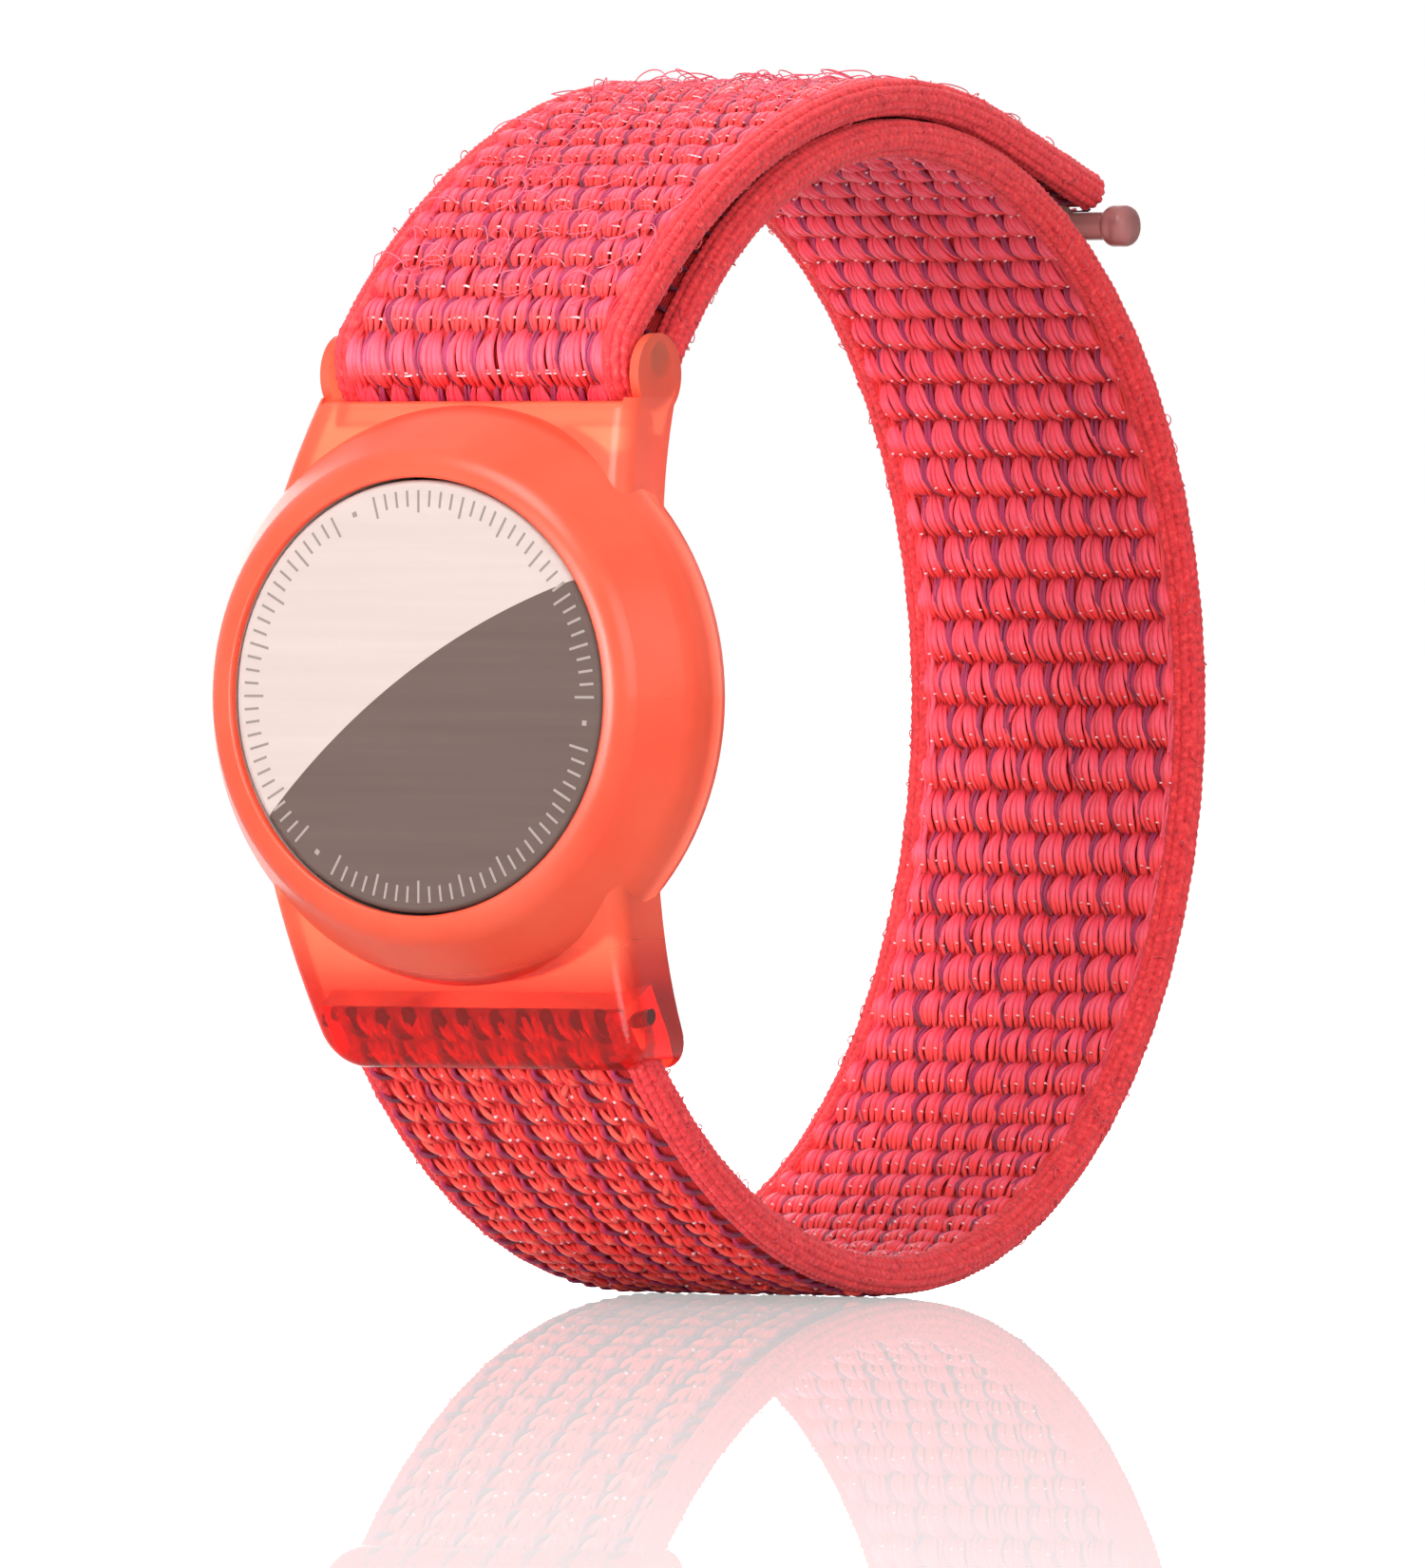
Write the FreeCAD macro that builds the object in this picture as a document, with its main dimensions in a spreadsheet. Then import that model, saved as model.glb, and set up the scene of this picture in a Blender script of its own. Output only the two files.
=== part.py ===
import FreeCAD, Part
import Sketcher
import math
import os
import re

# Woven wristband with a snap-in case for a round tracker tag.
# Millimetres. Origin at the centre of the wrist opening, +X along the wrist, +Z up, case facing -Y.
# Angles in the YZ plane are measured from +Y towards +Z, so the case sits near 180 degrees.

SIZES = {
    "tool_run": 1.0,                # how far a cutting tool runs past what it cuts
    # band
    "band_width": 20.2,
    "band_thick": 2.2,
    "wrist_radius": 32.6,           # inner face of the band
    "lower_shift": 5.0,             # the band leaves the lower lug on an arc centred this much higher
    # upper cross bar, with the band folded round it
    "bar_radius": 1.05,
    "bar_turn": 145.4,              # where the bar sits round the wrist
    "bar_play": 0.1,
    # flap
    "layer_gap": 0.2,               # between the two layers of the band
    "flap_join_turn": 100.0,        # from here on the flap lies on the inner layer
    "flap_lift_turn": 71.8,         # from here on it springs straight
    "flap_tip_length": 12.2,
    "hook_thick": 0.5,
    "hook_start_turn": 73.0,
    "hook_sweep": 24.0,
    "hook_width": 17.0,
    "stitch_thick": 0.12,
    "stitch_wide": 0.3,
    "stitch_long": 1.3,
    "stitch_count": 7,
    "stitch_margin_turn": 1.5,      # from the hook tape's ends
    # stop bar at the flap's tip
    "rod_radius": 0.85,
    "knob_radius": 1.25,
    "knob_length": 1.9,
    "knob_round": 0.6,
    "knob_gap": 0.2,                # between the flap's edge and a knob
    "tang_thick": 0.5,
    "tang_long": 3.6,
    "tang_width": 16.0,
    "rod_inset": 0.2,
    # anchor in the lower lug
    "anchor_pin_radius": 0.5,
    "anchor_pin_inset": 0.1,        # the pin's ends and the bar's lie inside the lugs' sides
    "cross_bar_inset": 0.2,
    "anchor_pin_drop": 17.8,        # depth of the pin below the origin
    "anchor_join_drop": 20.6,       # depth where the sewn loop becomes the band
    "anchor_stitch_drop": 19.4,
    "tack_count": 8,
    # case
    "case_rise": 0.8,               # height of the case's axis
    "case_front": -39.4,
    "case_rear": -32.3,
    "dome_radius": 16.95,           # widest, between dome_waist_front and dome_waist_rear
    "dome_front_radius": 14.0,
    "dome_rear_radius": 16.75,
    "dome_waist_front": -34.95,
    "dome_waist_rear": -33.5,
    "dome_round": 2.0,
    "dome_waist_round": 4.2,
    "window_radius": 12.75,
    "window_round": 0.15,
    "lug_inner": 33.7,              # the lugs are bent round the wrist between these radii
    "lug_outer": 37.9,
    "lug_root_half": 12.3,          # half the width at lug_root_reach from the case's axis
    "lug_root_reach": 10.0,
    "lug_end_half": 10.95,
    "lug_drop": 21.0,               # depth of the lower end
    "lug_corner": 2.6,
    "lug_edge_round": 1.2,
    "post_round": 2.4,              # rounded ends of the two posts that hold the bar
    "post_reach": 35.9,             # where those ends are centred, round the wrist
    "post_turn": 147.0,
    "post_drop": 1.35,              # depth of the lugs' flat upper end below the ends' centre
    "slot_half": 10.35,
    "slot_clear": 3.5,
    "panel_top": 18.0,              # upper edge of the front wall, below the fold
    "panel_round": 0.8,
    "seat_reach": 7.4,              # the tag's seat is cut clear through the lugs behind the case
    "pocket_clear": 0.1,
    "pocket_top_drop": 16.6,
    "pocket_sweep": 20.0,
    # tag, whose depths are measured from its face towards the wrist
    "tag_radius": 15.95,
    "tag_thick": 8.0,
    "tag_face": -39.1,
    "tag_front_radius": 13.3,       # the tag widens from here to its waist
    "tag_waist": 4.4,
    "tag_front_round": 0.5,
    "tag_waist_round": 1.6,
    "tag_back_round": 2.4,
    "tag_shoulder": 0.35,
    "tag_play": 0.12,
    "cover_radius": 12.6,
    "cover_sheet": 0.4,
    "cover_depth": 2.2,
    "cover_round": 0.35,
    "cover_bore": 12.8,
    "shell_wide_radius": 13.9,
    "shell_wide_top": 2.4,
    "shell_wide_floor": 5.6,
    "shell_narrow_radius": 13.4,
    "shell_floor": 7.0,
    "insert_inner": 10.6,
    "tab_count": 3,
    "tab_stem_inner": 11.2,
    "tab_stem_outer": 12.0,
    "tab_foot_outer": 12.9,
    "tab_foot_top": 2.85,
    "tab_floor": 3.3,
    "tab_sweep": 18.0,
    "ledge_inner": 12.35,
    "ledge_top": 2.5,
    "ledge_floor": 2.8,
    "ledge_sweep": 24.0,
    "tray_radius": 13.8,
    "tray_wall_inner": 13.1,
    "tray_top": 4.4,
    "tray_floor": 5.2,
    "well_inner": 10.4,
    "well_outer": 11.0,
    "well_top": 2.6,
    "well_gap_margin": 0.6,         # the well is notched for the side contacts
    "well_gap_side": 0.2,
    "cell_radius": 10.0,
    "cell_top": 0.5,
    "cell_can_floor": 3.3,
    "cell_cap_radius": 8.7,
    "cell_floor": 3.7,
    "cell_round": 0.25,
    "contact_thick": 0.25,
    "contact_width": 3.0,
    "contact_reach": 4.0,
    "contact_foot": 1.0,
    "contact_play": 0.1,
    "board_inner": 5.3,
    "board_radius": 13.2,
    "board_floor": 5.9,
    "chip_floor": 6.7,
    "magnet_radius": 4.3,
    "magnet_floor": 6.7,
    "coil_inner": 4.5,
    "coil_outer": 5.1,
    "coil_top": 5.7,
}

doc = FreeCAD.newDocument("tracker_wristband")
dims = doc.addObject("Spreadsheet::Sheet", "dims")
for row, (alias, value) in enumerate(SIZES.items(), start=1):
    dims.set(f"A{row}", alias)
    dims.set(f"B{row}", str(value))
    dims.setAlias(f"B{row}", alias)
doc.recompute()

PARTS = {}


def cell(text):
    """An expression on the sheet: every word of the text that is a size gets the sheet's name."""
    return re.sub(r"[a-z_]+", lambda m: f"dims.{m[0]}" if m[0] in SIZES else m[0], text)


def place(obj, x, y, z, turning):
    where = f"vector({cell(x)}; {cell(y)}; {cell(z)})"
    obj.setExpression("Placement", f"placement({where}; {turning})")


def primitive(kind, name, **sizes):
    obj = doc.addObject(f"Part::{kind}", name)
    for prop, text in sizes.items():
        obj.setExpression(prop, cell(text))
    return obj


def along_x(name, radius, half, y="0", z="0", start=None, sweep=None, low=None):
    """A cylinder along X from -half (or low) to half, or the sector of one from start over sweep."""
    low = low or f"0 - ( {half} )"
    sizes = {"Radius": radius, "Height": f"{half} - ( {low} )"}
    if sweep:
        sizes["Angle"] = sweep
    obj = primitive("Cylinder", name, **sizes)
    place(obj, low, y, z, f"rotationx({cell(start or '0')}) * rotation(vector(1; 1; 1); 120)")
    return obj


def along_y(name, radius, front, rear, start=None, sweep=None, x="0", z="case_rise"):
    """A cylinder along Y from front to rear, or the sector of one from start over sweep."""
    sizes = {"Radius": radius, "Height": f"( {rear} ) - ( {front} )"}
    if sweep:
        sizes["Angle"] = sweep
    obj = primitive("Cylinder", name, **sizes)
    place(obj, x, front, z, f"rotationy({cell(start or '0')}) * rotationx(-90)")
    return obj


def cone_y(name, front_radius, rear_radius, front, rear):
    """A cone along Y about the case's axis, from its front radius to its rear radius."""
    obj = primitive("Cone", name, Radius1=front_radius, Radius2=rear_radius,
                    Height=f"( {rear} ) - ( {front} )")
    place(obj, "0", front, "case_rise", "rotationx(-90)")
    return obj


def block(name, low, high, turning="rotationx(0)", at=("0", "0", "0")):
    """A box between two corners, turned about the point at, which the corners are measured from."""
    edges = [f"( {b} ) - ( {a} )" for a, b in zip(low, high)]
    obj = primitive("Box", name, Length=edges[0], Width=edges[1], Height=edges[2])
    corner = "; ".join(cell(text) for text in low)
    base = "; ".join(cell(text) for text in at)
    obj.setExpression(
        "Placement",
        f"placement(vector({base}); {turning}) * placement(vector({corner}); rotationx(0))")
    return obj


def cut(name, base, tool):
    obj = doc.addObject("Part::Cut", name)
    obj.Base, obj.Tool = base, tool
    return obj


def joined(name, pieces, kind="MultiFuse"):
    obj = doc.addObject(f"Part::{kind}", name)
    obj.Shapes = pieces
    return obj


def group(name, pieces):
    obj = doc.addObject("Part::Compound", name)
    obj.Links = pieces
    return obj


def rounded(name, base, radius, chosen):
    """A fillet on the edges of base that chosen(edge) accepts."""
    doc.recompute()
    size = float(dims.get(radius))
    picked = [i for i, edge in enumerate(base.Shape.Edges, start=1) if chosen(edge)]
    if not picked:
        raise RuntimeError(f"{name}: no edge to round")
    obj = doc.addObject("Part::Fillet", name)
    obj.Base = base
    obj.Edges = [(i, size, size) for i in picked]
    return obj


def ring_edge(radius, depth):
    """Accepts the circular edge of a given radius at a given Y."""
    def accept(edge):
        curve = edge.Curve
        return (isinstance(curve, Part.Circle) and abs(curve.Radius - radius) < 1e-3
                and abs(edge.CenterOfMass.y - depth) < 1e-3)
    return accept


def ring(name, inner, outer, front, rear, start=None, sweep=None):
    solid = along_y(f"{name}_outer", outer, front, rear, start, sweep)
    hollow = along_y(f"{name}_inner", inner, f"{front} - tool_run", f"{rear} + tool_run")
    return cut(name, solid, hollow)


def strip(name, middle, start, sweep, y="0", z="0", half="band_width / 2", thick="band_thick"):
    """A bent strip of the band: an arc of radius middle, as thick and wide as the band."""
    outer = along_x(f"{name}_outer", f"{middle} + {thick} / 2", half, y, z, start, sweep)
    inner = along_x(f"{name}_inner", f"{middle} - {thick} / 2", f"{half} + tool_run", y, z)
    return cut(name, outer, inner)


def depth(text):
    """A depth behind the tag's face, as a place along Y."""
    return f"tag_face + {text}"


def part(node, obj):
    obj.Label = node
    PARTS[node] = obj


# ---- the band's path -------------------------------------------------------------------------
# Each entry is an expression: the inner layer's middle radius, the fold's, and the flap's.
LAYER = "( wrist_radius + band_thick / 2 )"
FOLD = "( bar_radius + bar_play + band_thick / 2 )"
BAR_OUT = f"( {LAYER} + {FOLD} )"
BAR_Y = f"( {BAR_OUT} * cos( bar_turn ) )"
BAR_Z = f"( {BAR_OUT} * sin( bar_turn ) )"
POST_Y = "( post_reach * cos( post_turn ) )"
POST_Z = "( post_reach * sin( post_turn ) )"
FLAP = "( wrist_radius + band_thick * 1.5 + layer_gap )"
# The flap's arc from the fold touches the fold at one end and the inner layer's circle at the other.
FLAP_SHIFT = (f"( ( {BAR_OUT} * {BAR_OUT} - ( {FLAP} - {FOLD} ) * ( {FLAP} - {FOLD} ) )"
              f" / ( 2 * ( {FLAP} - {FOLD} - {BAR_OUT} * cos( bar_turn - flap_join_turn ) ) ) )")
FLAP_ARC_Y = f"( 0 - {FLAP_SHIFT} * cos( flap_join_turn ) )"
FLAP_ARC_Z = f"( 0 - {FLAP_SHIFT} * sin( flap_join_turn ) )"
FOLD_END_TURN = f"( 180 + atan( ( {BAR_Z} - {FLAP_ARC_Z} ) / ( {BAR_Y} - {FLAP_ARC_Y} ) ) / 1 deg )"
LOWER = f"( {LAYER} + lower_shift )"


def lower_turn(drop):
    """Where the lower arc is drop below the origin, as a turn about that arc's own centre."""
    return f"( 180 + asin( ( {drop} + lower_shift ) / {LOWER} ) / 1 deg )"


def lower_y(drop):
    return f"( 0 - {LOWER} * cos( asin( ( {drop} + lower_shift ) / {LOWER} ) ) )"


def number(text):
    """The value of an expression on the sheet, for pieces that are placed one by one."""
    return float(dims.evalExpression(cell(text)))


# ---- band ------------------------------------------------------------------------------------
def strap_band():
    bottom = strip("band_lower_arc", LOWER, lower_turn("anchor_join_drop"),
                   f"270 - {lower_turn('anchor_join_drop')}", z="lower_shift")
    around = strip("band_round", LAYER, "-90", "90 + bar_turn")
    part("strap_band", joined("band", [bottom, around]))


def strap_fold():
    part("strap_fold", strip("fold", FOLD, FOLD_END_TURN, f"180 + bar_turn - {FOLD_END_TURN}",
                             y=BAR_Y, z=BAR_Z))


def flap_frame():
    """Start of the flap's straight tip: a point on the inner face's circle and its turning."""
    return ("0", "0", "0"), f"rotationx({cell('flap_lift_turn - 90')})"


def strap_flap():
    rise = strip("flap_rise", f"( {FLAP} + {FLAP_SHIFT} )", "flap_join_turn",
                 f"{FOLD_END_TURN} - flap_join_turn", y=FLAP_ARC_Y, z=FLAP_ARC_Z)
    lying = strip("flap_lying", FLAP, "flap_lift_turn", "flap_join_turn - flap_lift_turn")
    at, turning = flap_frame()
    tip = block("flap_tip", ("0 - band_width / 2", "0", f"{FLAP} - band_thick / 2"),
                ("band_width / 2", "flap_tip_length", f"{FLAP} + band_thick / 2"), turning, at)
    whole = joined("flap_whole", [rise, lying, tip])
    recess = strip("hook_recess", f"( {FLAP} - band_thick / 2 + hook_thick / 2 )", "hook_start_turn",
                   "hook_sweep", half="hook_width / 2", thick="hook_thick")
    part("strap_flap", cut("flap", whole, recess))


def hook_patch():
    part("hook_patch", strip("hook_tape", f"( {FLAP} - band_thick / 2 + hook_thick / 2 )",
                             "hook_start_turn", "hook_sweep", half="hook_width / 2",
                             thick="hook_thick"))


def hook_patch_stitching():
    """Two rows of stitches across the hook tape, near its ends."""
    stitches = []
    across = int(SIZES["stitch_count"])
    ends = ("hook_start_turn + stitch_margin_turn",
            "hook_start_turn + hook_sweep - stitch_margin_turn")
    for line, turn in enumerate(ends):
        for i in range(across):
            middle = f"hook_width * {(i + 0.5) / across - 0.5:.4f}"
            face = f"{FLAP} - band_thick / 2"
            stitches.append(block(
                f"hook_stitch_{line}_{i}",
                (f"{middle} - stitch_long / 2", "0 - stitch_wide / 2", f"{face} - stitch_thick"),
                (f"{middle} + stitch_long / 2", "stitch_wide / 2", face),
                f"rotationx({cell(turn + ' - 90')})"))
    part("hook_patch_stitching", group("hook_stitches", stitches))


def strap_stop_bar():
    at, turning = flap_frame()
    along = "flap_tip_length - rod_inset"
    face = f"{FLAP} - band_thick / 2"
    out = f"( {face} - rod_radius )"
    y = f"( {along} ) * cos( flap_lift_turn - 90 ) - {out} * sin( flap_lift_turn - 90 )"
    z = f"( {along} ) * sin( flap_lift_turn - 90 ) + {out} * cos( flap_lift_turn - 90 )"
    rod = along_x("stop_rod", "rod_radius", "band_width / 2 + 2 * knob_gap", y, z)
    tang = block("stop_tang", ("0 - tang_width / 2", f"{along} - tang_long", f"{face} - tang_thick"),
                 ("tang_width / 2", along, face), turning, at)
    knobs = []
    for side, low in (("near", "band_width / 2 + knob_gap"),
                      ("far", "0 - band_width / 2 - knob_gap - knob_length")):
        knob = along_x(f"knob_{side}", "knob_radius", f"{low} + knob_length", y, z, low=low)
        knobs.append(rounded(f"knob_{side}_round", knob, "knob_round",
                             lambda edge: isinstance(edge.Curve, Part.Circle)))
    part("strap_stop_bar", joined("stop_bar", [rod, tang] + knobs))


# ---- anchor in the lower lug -----------------------------------------------------------------
def strap_anchor_loop():
    pin_y, pin_z = lower_y("anchor_pin_drop"), "0 - anchor_pin_drop"
    body = strip("anchor_sleeve", LOWER, lower_turn("anchor_pin_drop"),
                 f"{lower_turn('anchor_join_drop')} - {lower_turn('anchor_pin_drop')}",
                 z="lower_shift")
    eye = along_x("anchor_eye", "band_thick / 2", "band_width / 2", pin_y, pin_z)
    hole = along_x("anchor_hole", "anchor_pin_radius", "band_width", pin_y, pin_z)
    part("strap_anchor_loop", cut("anchor_loop", joined("anchor_whole", [body, eye]), hole))


def lower_strap_pin():
    part("lower_strap_pin", along_x("anchor_pin", "anchor_pin_radius",
                                    "lug_end_half - anchor_pin_inset",
                                    lower_y("anchor_pin_drop"), "0 - anchor_pin_drop"))


def anchor_stitching():
    """One row of bar tacks through the sewn loop, lying in the pocket's clearance."""
    across = int(SIZES["tack_count"])
    turn = f"{lower_turn('anchor_stitch_drop')} - 90"
    tacks = []
    for i in range(across):
        middle = f"band_width * {(i + 0.5) / across - 0.5:.4f}"
        face = f"{LOWER} + band_thick / 2"
        tacks.append(block(
            f"tack_{i}",
            (f"{middle} - stitch_long / 2", "0 - stitch_wide / 2", face),
            (f"{middle} + stitch_long / 2", "stitch_wide / 2", f"{face} + stitch_thick / 2"),
            f"rotationx({cell(turn)})", ("0", "0", "lower_shift")))
    part("anchor_stitching", group("anchor_tacks", tacks))


# ---- case ------------------------------------------------------------------------------------
def lug_plan():
    """Outline of the two lugs seen from the front: a Body with a tapered sketch, padded along Y."""
    body = doc.addObject("PartDesign::Body", "lug_plan")
    sketch = body.newObject("Sketcher::SketchObject", "lug_outline")
    plane = [f for f in body.Origin.OriginFeatures if f.Role == "XZ_Plane"][0]
    sketch.AttachmentSupport = [(plane, "")]
    sketch.MapMode = "FlatFace"
    top = f"( {POST_Z} - post_drop )"
    corners = [("lug_end_half", "0 - lug_drop"), ("lug_root_half", "case_rise - lug_root_reach"),
               ("lug_root_half", "case_rise + lug_root_reach"), ("lug_end_half", top),
               ("0 - lug_end_half", top), ("0 - lug_root_half", "case_rise + lug_root_reach"),
               ("0 - lug_root_half", "case_rise - lug_root_reach"),
               ("0 - lug_end_half", "0 - lug_drop")]
    points = [FreeCAD.Vector(number(x), number(z), 0) for x, z in corners]
    count = len(points)
    for i in range(count):
        sketch.addGeometry(Part.LineSegment(points[i], points[(i + 1) % count]), False)
    for i, (x, z) in enumerate(corners):
        sketch.addConstraint(Sketcher.Constraint("Coincident", (i - 1) % count, 2, i, 1))
        for kind, text in (("DistanceX", x), ("DistanceY", z)):
            index = sketch.addConstraint(Sketcher.Constraint(kind, -1, 1, i, 1, number(text)))
            sketch.renameConstraint(index, f"{kind}_{i}")
            sketch.setExpression(f"Constraints.{kind}_{i}", cell(text))
    pad = body.newObject("PartDesign::Pad", "lug_pad")
    pad.Profile = sketch
    pad.setExpression("Length", cell("lug_outer + tool_run"))
    doc.recompute()
    if body.Shape.BoundBox.YMax > number("tool_run"):
        pad.Reversed = True
    return body


def case_body():
    wall = strip("lug_wall", "( ( lug_inner + lug_outer ) / 2 )", "90", "180",
                 half="lug_root_half + tool_run", thick="( lug_outer - lug_inner )")
    plate = joined("lug_plate", [wall, lug_plan()], "MultiCommon")
    above = along_x("above_bar", "lug_outer + tool_run", "lug_root_half + 2 * tool_run",
                    start="90", sweep="bar_turn - 90")
    lugs = cut("lugs_trimmed", plate, above)
    end = number("0 - lug_drop")
    lugs = rounded("lugs_end", lugs, "lug_corner", lambda edge: (
        abs(edge.CenterOfMass.z - end) < 0.05 and edge.BoundBox.XLength < 0.05
        and edge.BoundBox.ZLength < 0.05))
    front = number("lug_outer")
    lugs = rounded("lugs_front", lugs, "lug_edge_round", lambda edge: all(
        abs(math.hypot(v.Point.y, v.Point.z) - front) < 0.01 for v in edge.Vertexes)
        and edge.CenterOfMass.z < number(f"{POST_Z} - 2 * post_drop"))
    posts = []
    for side, low in (("near", "slot_half"), ("far", "0 - lug_end_half")):
        posts.append(along_x(f"post_{side}", "post_round", f"{low} + lug_end_half - slot_half",
                             POST_Y, POST_Z, low=low))
    dome = joined("dome_blank", [
        cone_y("dome_flank", "dome_front_radius", "dome_radius", "case_front", "dome_waist_front"),
        along_y("dome_waist", "dome_radius", "dome_waist_front", "dome_waist_rear"),
        cone_y("dome_tail", "dome_radius", "dome_rear_radius", "dome_waist_rear", "case_rear")])
    dome = rounded("dome_front", dome, "dome_round",
                   ring_edge(number("dome_front_radius"), number("case_front")))
    dome = rounded("dome_middle", dome, "dome_waist_round",
                   ring_edge(number("dome_radius"), number("dome_waist_front")))
    solid = joined("case_solid", [lugs, dome] + posts)

    seat = joined("tag_seat", [
        cone_y("tag_seat_flank", "tag_front_radius + tag_play", "tag_radius + tag_play",
               f"{depth('tag_shoulder')} - tag_play", depth("tag_waist")),
        along_y("tag_seat_bore", "tag_radius + tag_play", depth("tag_waist"),
                "case_rear + seat_reach")])
    seat = rounded("tag_seat_waist", seat, "tag_waist_round",
                   ring_edge(number("tag_radius + tag_play"), number(depth("tag_waist"))))
    window = along_y("window", "window_radius", "case_front - tool_run", "case_rear")
    slot = along_x("slot_round_bar", "slot_clear", "slot_half", BAR_Y, BAR_Z)
    slot_front = block("slot_front", ("0 - slot_half", "case_front", "panel_top"),
                       ("slot_half", "0", BAR_OUT))
    slot_rear = block("slot_rear", ("0 - slot_half", f"{BAR_Y} - bar_radius", "tag_radius"),
                      ("slot_half", "0", BAR_OUT))
    pocket = strip("pocket", LOWER, lower_turn("pocket_top_drop"), "pocket_sweep",
                   z="lower_shift", half="slot_half", thick="( band_thick + 2 * pocket_clear )")
    hole = along_x("pin_hole", "anchor_pin_radius", "lug_end_half - anchor_pin_inset",
                   lower_y("anchor_pin_drop"), "0 - anchor_pin_drop")
    hollow = joined("case_hollows", [seat, window, slot, slot_front, slot_rear, pocket, hole])
    shell = cut("case_shell", solid, hollow)
    bar = along_x("cross_bar", "bar_radius", "lug_end_half - cross_bar_inset", BAR_Y, BAR_Z)
    whole = joined("case_whole", [shell, bar])
    windowed = rounded("case_windowed", whole, "window_round",
                       ring_edge(number("window_radius"), number("case_front")))
    shelf = number("panel_top")
    part("case_body", rounded("case", windowed, "panel_round", lambda edge: (
        edge.BoundBox.ZLength < 0.01 and abs(edge.CenterOfMass.z - shelf) < 0.01
        and edge.BoundBox.XLength > number("slot_half") and edge.CenterOfMass.y < number(BAR_Y))))


# ---- tag -------------------------------------------------------------------------------------
def tag_housing():
    blank = joined("housing_blank", [
        cone_y("housing_flank", "tag_front_radius", "tag_radius", depth("tag_shoulder"),
               depth("tag_waist")),
        along_y("housing_bulk", "tag_radius", depth("tag_waist"), depth("tag_thick"))])
    front = rounded("housing_front", blank, "tag_front_round",
                    ring_edge(number("tag_front_radius"), number(depth("tag_shoulder"))))
    waist = rounded("housing_waist", front, "tag_waist_round",
                    ring_edge(number("tag_radius"), number(depth("tag_waist"))))
    back = rounded("housing_back", waist, "tag_back_round",
                   ring_edge(number("tag_radius"), number(depth("tag_thick"))))
    mouth = along_y("housing_mouth", "cover_bore", depth("0"), depth("shell_wide_floor"))
    wide = along_y("housing_wide", "shell_wide_radius", depth("shell_wide_top"),
                   depth("shell_wide_floor"))
    narrow = along_y("housing_narrow", "shell_narrow_radius", depth("shell_wide_top"),
                     depth("shell_floor"))
    part("tag_housing", cut("housing", back, joined("housing_hollow", [mouth, wide, narrow])))


def tag_battery_cover():
    blank = along_y("cover_blank", "cover_radius", depth("0"), depth("cover_depth"))
    soft = rounded("cover_soft", blank, "cover_round",
                   ring_edge(number("cover_radius"), number(depth("0"))))
    inside = along_y("cover_inside", "cover_radius - cover_sheet", depth("cover_sheet"),
                     depth("cover_depth + tool_run"))
    part("tag_battery_cover", cut("cover", soft, inside))


def tag_cover_insert():
    pieces = [ring("insert_ring", "insert_inner", "cover_radius - cover_sheet",
                   depth("cover_sheet"), depth("cover_depth"))]
    for i in range(int(SIZES["tab_count"])):
        start = f"360 / tab_count * {i} - tab_sweep / 2"
        pieces.append(ring(f"tab_stem_{i}", "tab_stem_inner", "tab_stem_outer",
                           depth("cover_depth"), depth("tab_floor"), start, "tab_sweep"))
        pieces.append(ring(f"tab_foot_{i}", "tab_stem_inner", "tab_foot_outer",
                           depth("tab_foot_top"), depth("tab_floor"), start, "tab_sweep"))
    part("tag_cover_insert", joined("cover_insert", pieces))


def tag_coin_cell():
    can = rounded("cell_can", along_y("cell_blank", "cell_radius", depth("cell_top"),
                                      depth("cell_can_floor")), "cell_round",
                  lambda edge: isinstance(edge.Curve, Part.Circle))
    cap = along_y("cell_cap", "cell_cap_radius", depth("cell_can_floor"), depth("cell_floor"))
    part("tag_coin_cell", joined("coin_cell", [can, cap]))


def tag_antenna_tray():
    pieces = [along_y("tray_plate", "tray_radius", depth("tray_top"), depth("tray_floor")),
              ring("tray_wall", "tray_wall_inner", "tray_radius", depth("ledge_top"),
                   depth("tray_top")),
              ring("cell_well", "well_inner", "well_outer", depth("well_top"), depth("tray_top"))]
    for i in range(int(SIZES["tab_count"])):
        start = f"360 / tab_count * {i} - ledge_sweep / 2"
        pieces.append(ring(f"ledge_{i}", "ledge_inner", "tray_radius", depth("ledge_top"),
                           depth("ledge_floor"), start, "ledge_sweep"))
    half = "contact_width / 2 + well_gap_side"
    gaps = [block(f"well_gap_{i}", (low, depth("well_top - tool_run"), f"0 - ( {half} )"),
                  (high, depth("tray_top"), half), at=("0", "0", "case_rise"))
            for i, (low, high) in enumerate((
                ("well_inner - well_gap_margin", "well_outer + well_gap_side"),
                ("0 - well_outer - well_gap_side", "well_gap_margin - well_inner")))]
    part("tag_antenna_tray", cut("tray", joined("tray_whole", pieces), joined("well_gaps", gaps)))


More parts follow.
